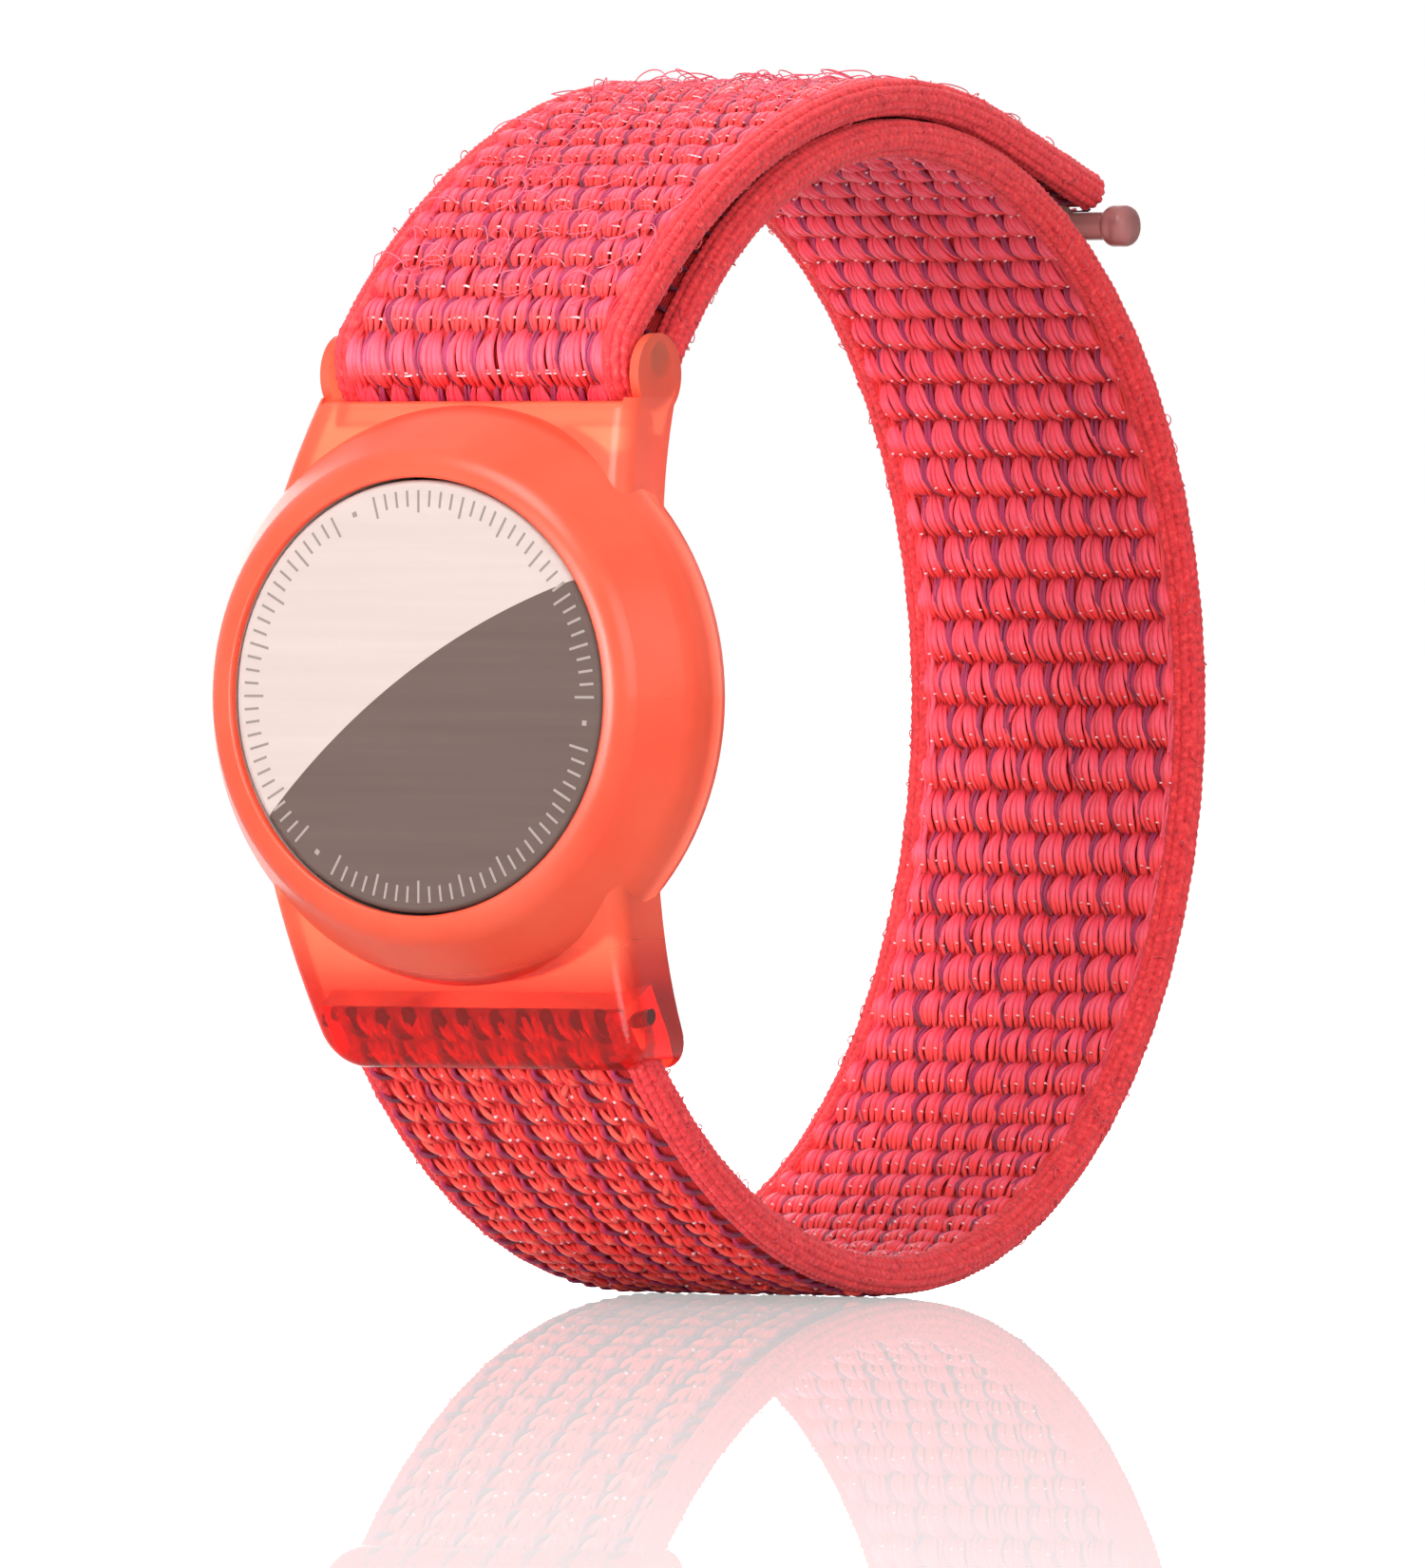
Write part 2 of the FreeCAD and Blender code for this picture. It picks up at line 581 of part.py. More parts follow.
def tag_battery_contacts():
    """Two springs beside the cell's can and one under its cap, all standing on the tray."""
    at = ("0", "0", "case_rise")
    half = "contact_width / 2"
    solids = []
    beside = "( cell_radius + contact_play )"
    for i, (low, high, foot_low, foot_high) in enumerate((
            (beside, f"{beside} + contact_thick",
             f"{beside} - contact_foot", f"{beside} + contact_thick"),
            (f"0 - {beside} - contact_thick", f"0 - {beside}",
             f"0 - {beside} - contact_thick", f"contact_foot - {beside}"))):
        leaf = block(f"contact_leaf_{i}", (low, depth("well_top"), f"0 - {half}"),
                     (high, depth("tray_top"), half), at=at)
        foot = block(f"contact_foot_{i}", (foot_low, depth("tray_top - contact_thick"), f"0 - {half}"),
                     (foot_high, depth("tray_top"), half), at=at)
        solids.append(joined(f"side_contact_{i}", [leaf, foot]))
    blade = block("contact_blade", ("0 - contact_reach / 2", depth("cell_floor"), f"0 - {half}"),
                  ("contact_reach / 2", depth("cell_floor + contact_thick"), half), at=at)
    stand = block("contact_stand", ("contact_reach / 2 - contact_thick", depth("cell_floor"),
                                    f"0 - {half}"),
                  ("contact_reach / 2", depth("tray_top"), half), at=at)
    solids.append(joined("cap_contact", [blade, stand]))
    part("tag_battery_contacts", group("battery_contacts", solids))


def tag_circuit_board():
    part("tag_circuit_board", ring("board", "board_inner", "board_radius", depth("tray_floor"),
                                   depth("board_floor")))


def tag_chips():
    """Chips round the board: turn about the case's axis, distance from it, length and width."""
    layout = ((20, 9.2, 5.0, 4.0), (75, 9.4, 4.2, 4.2), (125, 9.2, 3.2, 2.4), (165, 9.0, 2.4, 2.0),
              (205, 9.3, 4.6, 3.2), (255, 9.2, 3.0, 3.0), (300, 9.4, 3.6, 2.2), (335, 9.6, 2.0, 1.4))
    chips = []
    for i, (turn, out, length, width) in enumerate(layout):
        chips.append(block(f"chip_{i}", (str(out - width / 2), depth("board_floor"), str(-length / 2)),
                           (str(out + width / 2), depth("chip_floor"), str(length / 2)),
                           f"rotationy({turn})", ("0", "0", "case_rise")))
    part("tag_chips", group("chips", chips))


def tag_sounder():
    part("tag_speaker_magnet", along_y("magnet", "magnet_radius", depth("tray_floor"),
                                       depth("magnet_floor")))
    part("tag_voice_coil", ring("coil", "coil_inner", "coil_outer", depth("coil_top"),
                                depth("shell_floor")))


for make in (case_body, lower_strap_pin, strap_band, strap_anchor_loop, anchor_stitching,
             strap_fold, strap_flap, hook_patch, hook_patch_stitching, strap_stop_bar,
             tag_housing, tag_battery_cover, tag_cover_insert, tag_coin_cell, tag_battery_contacts,
             tag_antenna_tray, tag_circuit_board, tag_chips, tag_sounder):
    make()

doc.recompute()
for obj in doc.Objects:
    if "Invalid" in obj.State or "Error" in obj.State:
        raise RuntimeError(f"{obj.Name} failed: {obj.State}")
for node, obj in PARTS.items():
    if obj.Shape.isNull() or not obj.Shape.isValid() or not obj.Shape.Solids:
        raise RuntimeError(f"{node} has no valid solid")

os.makedirs("parts", exist_ok=True)
for node, obj in PARTS.items():
    obj.Shape.exportStep(f"parts/{node}.step")
    print(f"{node}: {len(obj.Shape.Solids)} solids, {obj.Shape.Volume:.1f} mm3")
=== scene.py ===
import math

import bpy
import numpy as np
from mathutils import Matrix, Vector


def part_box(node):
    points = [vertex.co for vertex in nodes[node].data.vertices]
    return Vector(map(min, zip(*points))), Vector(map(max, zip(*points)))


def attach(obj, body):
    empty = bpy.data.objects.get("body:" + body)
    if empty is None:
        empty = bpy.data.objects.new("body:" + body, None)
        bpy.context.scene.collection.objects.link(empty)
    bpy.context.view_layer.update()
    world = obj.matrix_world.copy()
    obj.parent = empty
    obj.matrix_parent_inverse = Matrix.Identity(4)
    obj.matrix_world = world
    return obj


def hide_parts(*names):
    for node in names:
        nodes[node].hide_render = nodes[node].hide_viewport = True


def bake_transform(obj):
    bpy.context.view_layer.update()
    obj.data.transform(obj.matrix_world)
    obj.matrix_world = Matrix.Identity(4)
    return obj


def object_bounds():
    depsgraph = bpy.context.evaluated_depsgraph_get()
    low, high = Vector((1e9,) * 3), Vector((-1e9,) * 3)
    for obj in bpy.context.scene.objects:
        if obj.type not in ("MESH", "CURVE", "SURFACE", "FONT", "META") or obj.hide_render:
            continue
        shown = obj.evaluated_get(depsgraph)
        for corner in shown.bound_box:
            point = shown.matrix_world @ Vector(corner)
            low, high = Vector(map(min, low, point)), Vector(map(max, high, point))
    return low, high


# Looks of the woven wristband with a snap-in tracker case. Metres, in the row frame: the wrist
# axis is X, the case faces -Y and Z is up. The weave is described on the flat band, in
# millimetres: s runs along it from the lower lug to the flap's tip, x runs across it, and h is the
# height above its middle, towards the face that lies on the wrist.

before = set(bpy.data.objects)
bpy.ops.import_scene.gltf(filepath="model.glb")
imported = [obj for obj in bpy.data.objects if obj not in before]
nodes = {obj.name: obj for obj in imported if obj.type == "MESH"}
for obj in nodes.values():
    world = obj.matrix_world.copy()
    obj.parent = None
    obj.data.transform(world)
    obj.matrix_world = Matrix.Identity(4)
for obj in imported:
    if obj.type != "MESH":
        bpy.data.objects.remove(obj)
cad_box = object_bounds()
MM = 0.001
rng = np.random.default_rng(11)

# ---- the band's path, with the CAD model's own sizes -------------------------------------------
LAYER = 33.7
LOWER_SHIFT = 5.0
ANCHOR_PIN_DROP = 17.8
BAR_TURN = 145.4
FOLD = 2.25
FLAP = 36.1
FLAP_JOIN = 100.0
FLAP_LIFT = 71.8
TIP_LENGTH = 12.2
HOOK_START, HOOK_SWEEP, HOOK_HALF = 73.0, 24.0, 8.5


def polar(radius, turn):
    """A point (y, z) at a distance from the wrist's axis and a turn in degrees."""
    return radius * math.cos(math.radians(turn)), radius * math.sin(math.radians(turn))


BAR_OUT = LAYER + FOLD
BAR = polar(BAR_OUT, BAR_TURN)
FLAP_REACH = FLAP - FOLD
RISE_SHIFT = (BAR_OUT ** 2 - FLAP_REACH ** 2) / (
    2 * (FLAP_REACH - BAR_OUT * math.cos(math.radians(BAR_TURN - FLAP_JOIN))))
RISE = polar(-RISE_SHIFT, FLAP_JOIN)
FOLD_END = math.degrees(math.atan2(BAR[1] - RISE[1], BAR[0] - RISE[0]))
LOWER = LAYER + LOWER_SHIFT
PIN_TURN = 180 + math.degrees(math.asin((ANCHOR_PIN_DROP + LOWER_SHIFT) / LOWER))

# centre, radius of the middle line, first and last turn, and which way the wrist-side face looks
ARCS = [((0, LOWER_SHIFT), LOWER, PIN_TURN, 270, -1),
        ((0, 0), LAYER, 270, 360 + BAR_TURN, -1),
        (BAR, FOLD, BAR_TURN + 180, FOLD_END, 1),
        (RISE, FLAP + RISE_SHIFT, FOLD_END, FLAP_JOIN, 1),
        ((0, 0), FLAP, FLAP_JOIN, FLAP_LIFT, 1)]
ARC_ENDS = np.cumsum([0] + [abs(math.radians(b - a)) * r for _, r, a, b, _ in ARCS])
FOLD_FROM, FOLD_TO = ARC_ENDS[2], ARC_ENDS[3]
BAND_END = ARC_ENDS[5] + TIP_LENGTH


def bend(flat):
    """Points (s, x, h) of the flat band, in millimetres, as points of the row frame, in metres."""
    s, x, h = flat[..., 0], flat[..., 1], flat[..., 2]
    y, z = np.zeros_like(s), np.zeros_like(s)
    for i, (centre, radius, first, last, side) in enumerate(ARCS):
        here = (s >= ARC_ENDS[i]) if i else np.ones_like(s, bool)
        turn = np.radians(first) + math.copysign(1, last - first) * (s - ARC_ENDS[i]) / radius
        reach = radius + side * h
        y = np.where(here, centre[0] + reach * np.cos(turn), y)
        z = np.where(here, centre[1] + reach * np.sin(turn), z)
    lift = math.radians(FLAP_LIFT)
    past = s - ARC_ENDS[5]
    y = np.where(past > 0, (FLAP + h) * math.cos(lift) + past * math.sin(lift), y)
    z = np.where(past > 0, (FLAP + h) * math.sin(lift) - past * math.cos(lift), z)
    return np.stack([x, y, z], -1) * MM


# ---- meshes ------------------------------------------------------------------------------------
def mesh_object(name, points, rings, material, floats):
    """An object of closed tubes: rings holds the point numbers, tube by ring by corner."""
    after = np.roll(rings, -1, 2)
    sides = np.stack([rings[:, :-1], after[:, :-1], after[:, 1:], rings[:, 1:]], -1).reshape(-1, 4)
    caps = np.concatenate([rings[:, 0, ::-1], rings[:, -1]])
    a, b, c = (points[sides[:, k]] for k in (0, 1, 2))
    if np.einsum("ij,ij->", a, np.cross(b, c)) < 0:
        sides, caps = sides[:, ::-1], caps[:, ::-1]
    corners = np.concatenate([sides.ravel(), caps.ravel()])
    starts = np.concatenate([np.arange(len(sides)) * 4,
                             sides.size + np.arange(len(caps)) * rings.shape[2]])
    mesh = bpy.data.meshes.new(name)
    mesh.vertices.add(len(points))
    mesh.vertices.foreach_set("co", points.astype(np.float32).ravel())
    mesh.loops.add(len(corners))
    mesh.loops.foreach_set("vertex_index", corners.astype(np.int32))
    mesh.polygons.add(len(starts))
    mesh.polygons.foreach_set("loop_start", starts.astype(np.int32))
    mesh.polygons.foreach_set("use_smooth", np.ones(len(starts), bool))
    mesh.update(calc_edges=True)
    for key, value in floats.items():
        kind = "FLOAT_VECTOR" if value.ndim == 2 else "FLOAT"
        field = "vector" if value.ndim == 2 else "value"
        attribute = mesh.attributes.new(key, kind, "POINT")
        attribute.data.foreach_set(field, value.astype(np.float32).ravel())
    mesh.validate()
    mesh.materials.append(material)
    obj = bpy.data.objects.new(name, mesh)
    bpy.context.scene.collection.objects.link(obj)
    return obj


def yarns(name, lines, wide, tall, corners, material):
    """Yarns on the flat band, all with as many points, as one object.

    lines is by yarn, point and (s, x, h). wide and tall are half widths, one number or one a point.
    """
    count, length = lines.shape[:2]
    wide = np.broadcast_to(wide, (count, length))[..., None, None]
    tall = np.broadcast_to(tall, (count, length))[..., None, None]
    ahead = np.gradient(lines, axis=1)
    ahead /= np.linalg.norm(ahead, axis=2, keepdims=True) + 1e-9
    aside = np.cross(ahead, (0.0, 0.0, 1.0))
    aside /= np.linalg.norm(aside, axis=2, keepdims=True) + 1e-9
    over = np.cross(aside, ahead)
    turn = np.arange(corners) / corners * 2 * math.pi
    spread = np.cos(turn)[None, None, :, None], np.sin(turn)[None, None, :, None]
    flat = (lines[:, :, None] + wide * spread[0] * aside[:, :, None]
            + tall * spread[1] * over[:, :, None])
    rings = np.arange(count * length * corners).reshape(count, length, corners)
    along = np.broadcast_to(np.linspace(0, 1, length)[None, :, None], rings.shape)
    tone = np.broadcast_to(rng.random(count)[:, None, None], rings.shape)
    grain = np.stack([along * 2.0, np.broadcast_to(np.cos(turn), rings.shape) + tone * 40,
                      np.broadcast_to(np.sin(turn), rings.shape)], -1)
    fields = {"along": along.ravel(), "tone": tone.ravel(), "grain": grain.reshape(-1, 3)}
    return mesh_object(name, bend(flat).reshape(-1, 3), rings, material, fields)


def taper(points, least):
    """Widths along a yarn that closes towards its ends, as shares of its middle's."""
    t = np.linspace(0, 1, points)
    return least + (1 - least) * np.minimum(1, 3 * np.minimum(t, 1 - t) + 0.15)


def tapered(name, lines, wide, tall, corners, material):
    """Yarns that close towards their ends: wide and tall are a half width and its share there."""
    points = lines.shape[1]
    return yarns(name, lines, wide[0] * taper(points, wide[1]), tall[0] * taper(points, tall[1]),
                 corners, material)


def ribbon(name, first, last, step, section, material):
    """A run of the band with the closed section(s) -> corners of (x, h), as one closed tube."""
    count = max(2, int(round((last - first) / step)) + 1)
    s = np.linspace(first, last, count)
    across = section(s)
    flat = np.concatenate([np.broadcast_to(s[:, None, None], across.shape[:2] + (1,)), across], -1)
    rings = np.arange(flat.shape[0] * flat.shape[1]).reshape((1,) + flat.shape[:2])
    return mesh_object(name, bend(flat).reshape(-1, 3), rings, material,
                       {"flat": flat.reshape(-1, 3)})


# ---- materials ---------------------------------------------------------------------------------
def linear(red, green, blue):
    """A colour given as 0-255 in a picture, as the linear values that a shader takes."""
    return tuple(((c / 255) / 12.92 if c / 255 <= 0.04045 else ((c / 255 + 0.055) / 1.055) ** 2.4)
                 for c in (red, green, blue)) + (1.0,)


class Shader:
    """A node material with a Principled surface, and short ways to add nodes to it."""

    def __init__(self, name, **settings):
        self.material = bpy.data.materials.new(name)
        self.material.use_nodes = True
        self.nodes, self.links = self.material.node_tree.nodes, self.material.node_tree.links
        self.surface = self.nodes["Principled BSDF"]
        for key, value in settings.items():
            self.surface.inputs[key.replace("_", " ")].default_value = value

    def add(self, kind, inputs=(), **settings):
        node = self.nodes.new("ShaderNode" + kind)
        for key, value in settings.items():
            setattr(node, key, value)
        for key, value in dict(inputs).items():
            self.feed(node.inputs[key], value)
        return node

    def feed(self, socket, value):
        if isinstance(value, bpy.types.NodeSocket):
            self.links.new(value, socket)
        else:
            socket.default_value = value

    def value(self, name):
        return self.add("Attribute", attribute_name=name).outputs["Fac"]

    def vector(self, name):
        return self.add("Attribute", attribute_name=name).outputs["Vector"]

    def place(self):
        return self.add("TexCoord").outputs["Object"]

    def noise(self, where, scale, detail=2.0, rough=0.5):
        return self.add("TexNoise", {"Vector": where, "Scale": scale, "Detail": detail,
                                     "Roughness": rough}).outputs["Fac"]

    def stretch(self, where, scale):
        return self.add("Mapping", {"Vector": where, "Scale": scale}).outputs["Vector"]

    def math(self, operation, a, b=0.0):
        return self.add("Math", {0: a, 1: b}, operation=operation).outputs[0]

    def ramp(self, factor, stops):
        node = self.add("ValToRGB", {"Fac": factor})
        elements = node.color_ramp.elements
        for i, (position, colour) in enumerate(stops):
            element = elements[i] if i < 2 else elements.new(position)
            element.position, element.color = position, colour
        return node.outputs["Color"]

    def mix(self, factor, a, b, blend="MIX"):
        node = self.add("Mix", data_type="RGBA", blend_type=blend)
        for key, value in ((0, factor), (6, a), (7, b)):
            self.feed(node.inputs[key], value)
        return node.outputs[2]

    def bump(self, height, distance, strength):
        return self.add("Bump", {"Height": height, "Distance": distance,
                                 "Strength": strength}).outputs["Normal"]

    def set(self, name, value):
        self.feed(self.surface.inputs[name], value)


def yarn_material(name, stops):
    """Nylon yarn: colour along its length, which in the woven yarns holds painted shade and painted
    highlight, a tone of its own, and fine filaments along it.
    """
    shader = Shader(name, Roughness=0.42, Sheen_Weight=0.25, Sheen_Roughness=0.4,
                    Sheen_Tint=(1.0, 0.5, 0.6, 1.0))
    colour = shader.ramp(shader.value("along"), stops)
    tone = shader.ramp(shader.value("tone"), [(0.0, (0.36, 0.3, 0.34, 1)),
                                              (1.0, (0.66, 0.62, 0.66, 1))])
    colour = shader.mix(0.55, colour, tone, "OVERLAY")
    filaments = shader.noise(shader.stretch(shader.vector("grain"), (1.2, 3.2, 3.2)), 1.6, 3.0, 0.6)
    streaks = shader.ramp(filaments, [(0.3, (0.38, 0.34, 0.38, 1)), (0.7, (0.66, 0.66, 0.66, 1))])
    colour = shader.mix(0.6, colour, streaks, "OVERLAY")
    shader.set("Base Color", colour)
    shader.set("Normal", shader.bump(filaments, 0.00008, 0.8))
    return shader.material


# woven yarns: darker towards the ends that dive into the weave or its pockets, painted shade; the
# pink, coral and red ones lightest over their crest, a painted highlight
PINK = yarn_material("pink_yarn", [(0.0, linear(206, 22, 40)), (0.2, linear(246, 62, 82)),
                                   (0.5, linear(255, 88, 108)), (0.76, linear(252, 62, 62)),
                                   (1.0, linear(226, 24, 24))])
PURPLE = yarn_material("purple_yarn", [(0.0, linear(156, 26, 76)), (0.45, linear(172, 38, 88)),
                                       (0.8, linear(128, 12, 52)), (1.0, linear(90, 4, 28))])
CORAL = yarn_material("coral_yarn", [(0.0, linear(232, 40, 36)), (0.45, linear(252, 92, 74)),
                                     (1.0, linear(236, 44, 38))])
RED = yarn_material("red_yarn", [(0.0, linear(226, 26, 28)), (0.5, linear(255, 62, 52)),
                                 (1.0, linear(216, 22, 26))])
HOOKED = yarn_material("hooked_purple_yarn", [(0.0, linear(196, 40, 84)),
                                              (0.4, linear(158, 24, 78)),
                                              (0.7, linear(104, 8, 48)), (1.0, linear(90, 8, 36))])


def glassy_material():
    """Clear monofilament, painted pale pink-white and whiter in random spots: painted glints."""
    shader = Shader("monofilament", Roughness=0.18, Transmission_Weight=0.25, Coat_Weight=0.6)
    glint_spots = shader.noise(shader.stretch(shader.place(), (900, 900, 900)), 1.0)
    shader.set("Base Color", shader.ramp(glint_spots, [(0.35, linear(250, 150, 168)),
                                                 (0.6, linear(255, 224, 228))]))
    return shader.material


def core_material():
    """The ground weave between the yarns: deep red, mottled, with waved threads."""
    shader = Shader("ground_weave", Roughness=0.7)
    where = shader.vector("flat")
    grain = shader.noise(where, 3.2, 3.0, 0.65)
    threads = shader.add("TexWave", {"Vector": where, "Scale": 1.9, "Distortion": 1.2,
                                     "Detail": 1.0}, bands_direction="Y").outputs["Fac"]
    colour = shader.ramp(shader.math("MULTIPLY", grain, threads),
                         [(0.05, linear(178, 14, 28)), (0.45, linear(238, 42, 42))])
    shader.set("Base Color", colour)
    shader.set("Normal", shader.bump(threads, 0.00015, 0.7))
    return shader.material


def edge_material():
    """The knitted edge: deep red, with small diagonal stitches, painted shade in the hollows
    between them and a painted highlight on their crests.
    """
    shader = Shader("knitted_edge", Roughness=0.62, Sheen_Weight=0.35, Sheen_Roughness=0.5,
                    Sheen_Tint=(1.0, 0.4, 0.45, 1.0))
    where = shader.vector("flat")
    grain = shader.noise(where, 2.4, 4.0, 0.7)
    fine = shader.noise(where, 9.0, 2.0, 0.6)
    colour = shader.ramp(grain, [(0.3, linear(186, 16, 26)), (0.55, linear(232, 42, 50)),
                                 (0.75, linear(252, 88, 84))])
    # painted shade in the hollows between stitches and a painted highlight on their crests, from
    # how far each stitch stands out
    colour = shader.mix(0.4, colour, shader.ramp(shader.value("stitch_shading"), [
        (0.0, (0.24, 0.18, 0.2, 1)), (0.6, (0.52, 0.5, 0.5, 1)), (1.0, (0.68, 0.66, 0.66, 1))]),
        "OVERLAY")
    shader.set("Base Color", colour)
    shader.set("Normal", shader.bump(fine, 0.00012, 0.8))
    return shader.material


GLASSY = glassy_material()
CORE = core_material()
EDGE = edge_material()

# ---- the weave ---------------------------------------------------------------------------------
ROW_PITCH = 2.65                # of the pillows on the wrist side, along the band
COLUMN_PITCH = 1.96
COLUMNS = 9
FACE_HALF = 8.75                # half the width between the knitted edges
EDGE_COLUMN = 8.45              # the outermost pillows are moved in to here
BACK_ROW = 1.68                 # of the yarns on the other side
BACK_COLUMN = 2.75
BACK_COLUMNS = 7
BACK_PHASE = 2.0                # where its first row lies
TOP = 1.1                       # half the band's thickness, yarns included
CORE_HALF = 9.0                 # the ground weave under the yarns
CORE_LOW, CORE_HIGH = -0.84, 0.62
FOLD_ROW = FOLD_FROM + math.radians(BAR_TURN) * FOLD
STITCH = 0.56                   # of the knitted edges
HOOK_FROM = ARC_ENDS[5] - math.radians(HOOK_START + HOOK_SWEEP - FLAP_LIFT) * FLAP
HOOK_TO = ARC_ENDS[5] - math.radians(HOOK_START - FLAP_LIFT) * FLAP
TAPE_MARGIN = 0.8               # bare band round the hook tape

# runs of the band: where each starts and ends, and the body it rides on, or None for the fold round
# the bar
FIRST = -0.8
FLAP_END = BAND_END - 0.5
LOWER_END, REAR_END = 58.0, 116.0
SECTIONS = {"lower": (FIRST, LOWER_END, "root"), "rear": (LOWER_END, REAR_END, "root"),
            "upper": (REAR_END, FOLD_FROM, "root"), "fold": (FOLD_FROM, FOLD_TO, None),
            "flap": (FOLD_TO, FLAP_END, "flap")}


def rows_between(first, last, pitch, phase):
    """Numbers and places of the rows centred between first and last."""
    low = math.ceil((first - phase) / pitch)
    high = math.ceil((last - phase) / pitch)
    numbers = np.arange(low, high)
    return numbers, phase + numbers * pitch


def cells(first, last, pitch, phase, columns, across, shift):
    """Centres (s, x) of the weave's cells, with each odd row shifted sideways."""
    numbers, places = rows_between(first, last, pitch, phase)
    found = []
    for number, s in zip(numbers, places):
        offset = shift * (number % 2) - shift / 2
        for i in range(columns + (1 if shift else 0)):
            x = (i - (columns - 1) / 2) * across + offset - (across / 2 if shift else 0) + shift / 2
            if abs(x) <= FACE_HALF + 0.1:
                found.append((s, max(-EDGE_COLUMN, min(EDGE_COLUMN, x))))
    return np.array(found)


def jitter(shape, size):
    """Small random shifts."""
    return rng.normal(0, size, shape)


def stacked(s, x, h):
    """Lines of points (s, x, h) from coordinates that may each be short of an axis."""
    return np.stack(np.broadcast_arrays(s, x, h), -1)


def arch(t, power):
    """A rounded rise and fall as t goes from 0 to 1."""
    return np.sin(np.clip(t, 0, 1) * math.pi) ** power


def bundles(centres, ply=5):
    """Pillows of pink yarns: pointed where they come up, wide and blunt where they go down."""
    t = np.linspace(0, 1, 10)[None, None]
    place = np.linspace(-1, 1, ply)[None, :, None]
    s = centres[:, 0, None, None] + 1.5 - 2.95 * t + jitter((len(centres), ply, 1), 0.07)
    spread = 0.2 + 0.52 * np.sin(np.clip(t * 1.5, 0, 1) * math.pi / 2) ** 0.9
    spread = spread * (1 - 0.3 * np.clip((t - 0.8) / 0.2, 0, 1))
    bow = -0.2 * np.sin(math.pi * t) + 0.3 * (t - 0.5)
    wobble = jitter((len(centres), 1, 1), 0.06) + jitter((len(centres), ply, 1), 0.05)
    wobble = wobble + jitter((len(centres), ply, 1), 0.05) * np.sin(math.pi * t)
    x = centres[:, 1, None, None] + place * spread + bow + wobble
    room = np.clip((FACE_HALF + 0.35 - np.abs(centres[:, 1, None, None])) / 1.1, 0.5, 1)
    x = centres[:, 1, None, None] + (x - centres[:, 1, None, None]) * room
    rise = arch(t * 0.98 + 0.01, 0.62)
    h = TOP - 0.72 + 0.62 * rise - 0.16 * place ** 2 * rise + jitter((len(centres), ply, 1), 0.035)
    return stacked(s, x, h).reshape(-1, t.size, 3)


def sinkers(centres):
    """Purple yarns between the pillows: straight down, then aslant to the right into the pocket."""
    t = np.linspace(0, 1, 9)[None, None]
    place = np.array((-1.0, 1.0))[None, :, None]
    s = centres[:, 0, None, None] + 1.45 - 2.9 * t
    slant = np.clip((t - 0.5) / 0.5, 0, 1)
    x = (centres[:, 1, None, None] + COLUMN_PITCH / 2 - 0.06 + place * 0.1 * (1 - 0.4 * slant)
         - 0.14 * np.sin(math.pi * t) + 0.7 * slant ** 1.4 + jitter((len(centres), 2, 1), 0.04))
    h = TOP - 0.6 + 0.42 * arch(t * 0.9 + 0.06, 0.7) - 0.15 * slant
    return stacked(s, x, h).reshape(-1, t.size, 3)


def weft(first, last):
    """Clear monofilament across the band, low in each row, seen between the pillows."""
    numbers, places = rows_between(first, last, ROW_PITCH, FOLD_ROW)
    half = FACE_HALF - 0.5
    x = np.linspace(-half, half, 55)
    lines = []
    for number, s in zip(numbers, places):
        column = (x / COLUMN_PITCH + 0.5 * (number % 2)) * 2 * math.pi
        for drop, lift in ((-0.62, 0.0), (-0.5, -0.05)):
            h = TOP - 0.2 + lift - 0.12 * np.cos(column)
            lines.append(stacked(s + drop + 0.05 * np.sin(column * 0.5 + number), x, h))
    return np.array(lines)


def hooks(centres):
    """On the other face: short purple yarns that end in a hook to the right."""
    t = np.linspace(0, 1, 9)[None]
    slant = np.clip((t - 0.38) / 0.62, 0, 1)
    s = centres[:, :1] - 0.75 + 1.65 * t - 0.4 * slant ** 3 + jitter((len(centres), 1), 0.1)
    x = centres[:, 1:] - 0.55 + 1.15 * slant ** 1.4 + jitter((len(centres), 1), 0.09)
    return stacked(s, x, -(TOP - 0.4 + 0.44 * arch(t * 0.9 + 0.08, 0.6)))


def ribs(centres, offset, lean, top, length):
    """On the other face: short upright yarns beside the purple ones, leaning to the right."""
    t = np.linspace(0, 1, 7)[None]
    count = len(centres)
    long = length * (1 + jitter((count, 1), 0.12))
    s = centres[:, :1] + long * (t - 0.5) + jitter((count, 1), 0.16)
    x = (centres[:, 1:] + offset + (lean + jitter((count, 1), 0.16)) * (t - 0.4)
         + jitter((count, 1), 0.07))
    h = -(top - 0.45 + 0.45 * arch(t * 0.96 + 0.02, 0.6) + jitter((count, 1), 0.05))
    return stacked(s, x, h)


def knots(centres):
    """Pairs of clear dots where the monofilament comes through the other face."""
    t = np.linspace(-1, 1, 5)[None]
    lines = []
    for shift in (0.72, 1.3):
        x = centres[:, 1:] + shift + 0.14 * t
        s = centres[:, :1] + 0.15 + jitter((len(centres), 1), 0.1)
        lines.append(stacked(s, x, -(TOP - 0.16 + 0.16 * (1 - t ** 2))))
    return np.concatenate(lines)


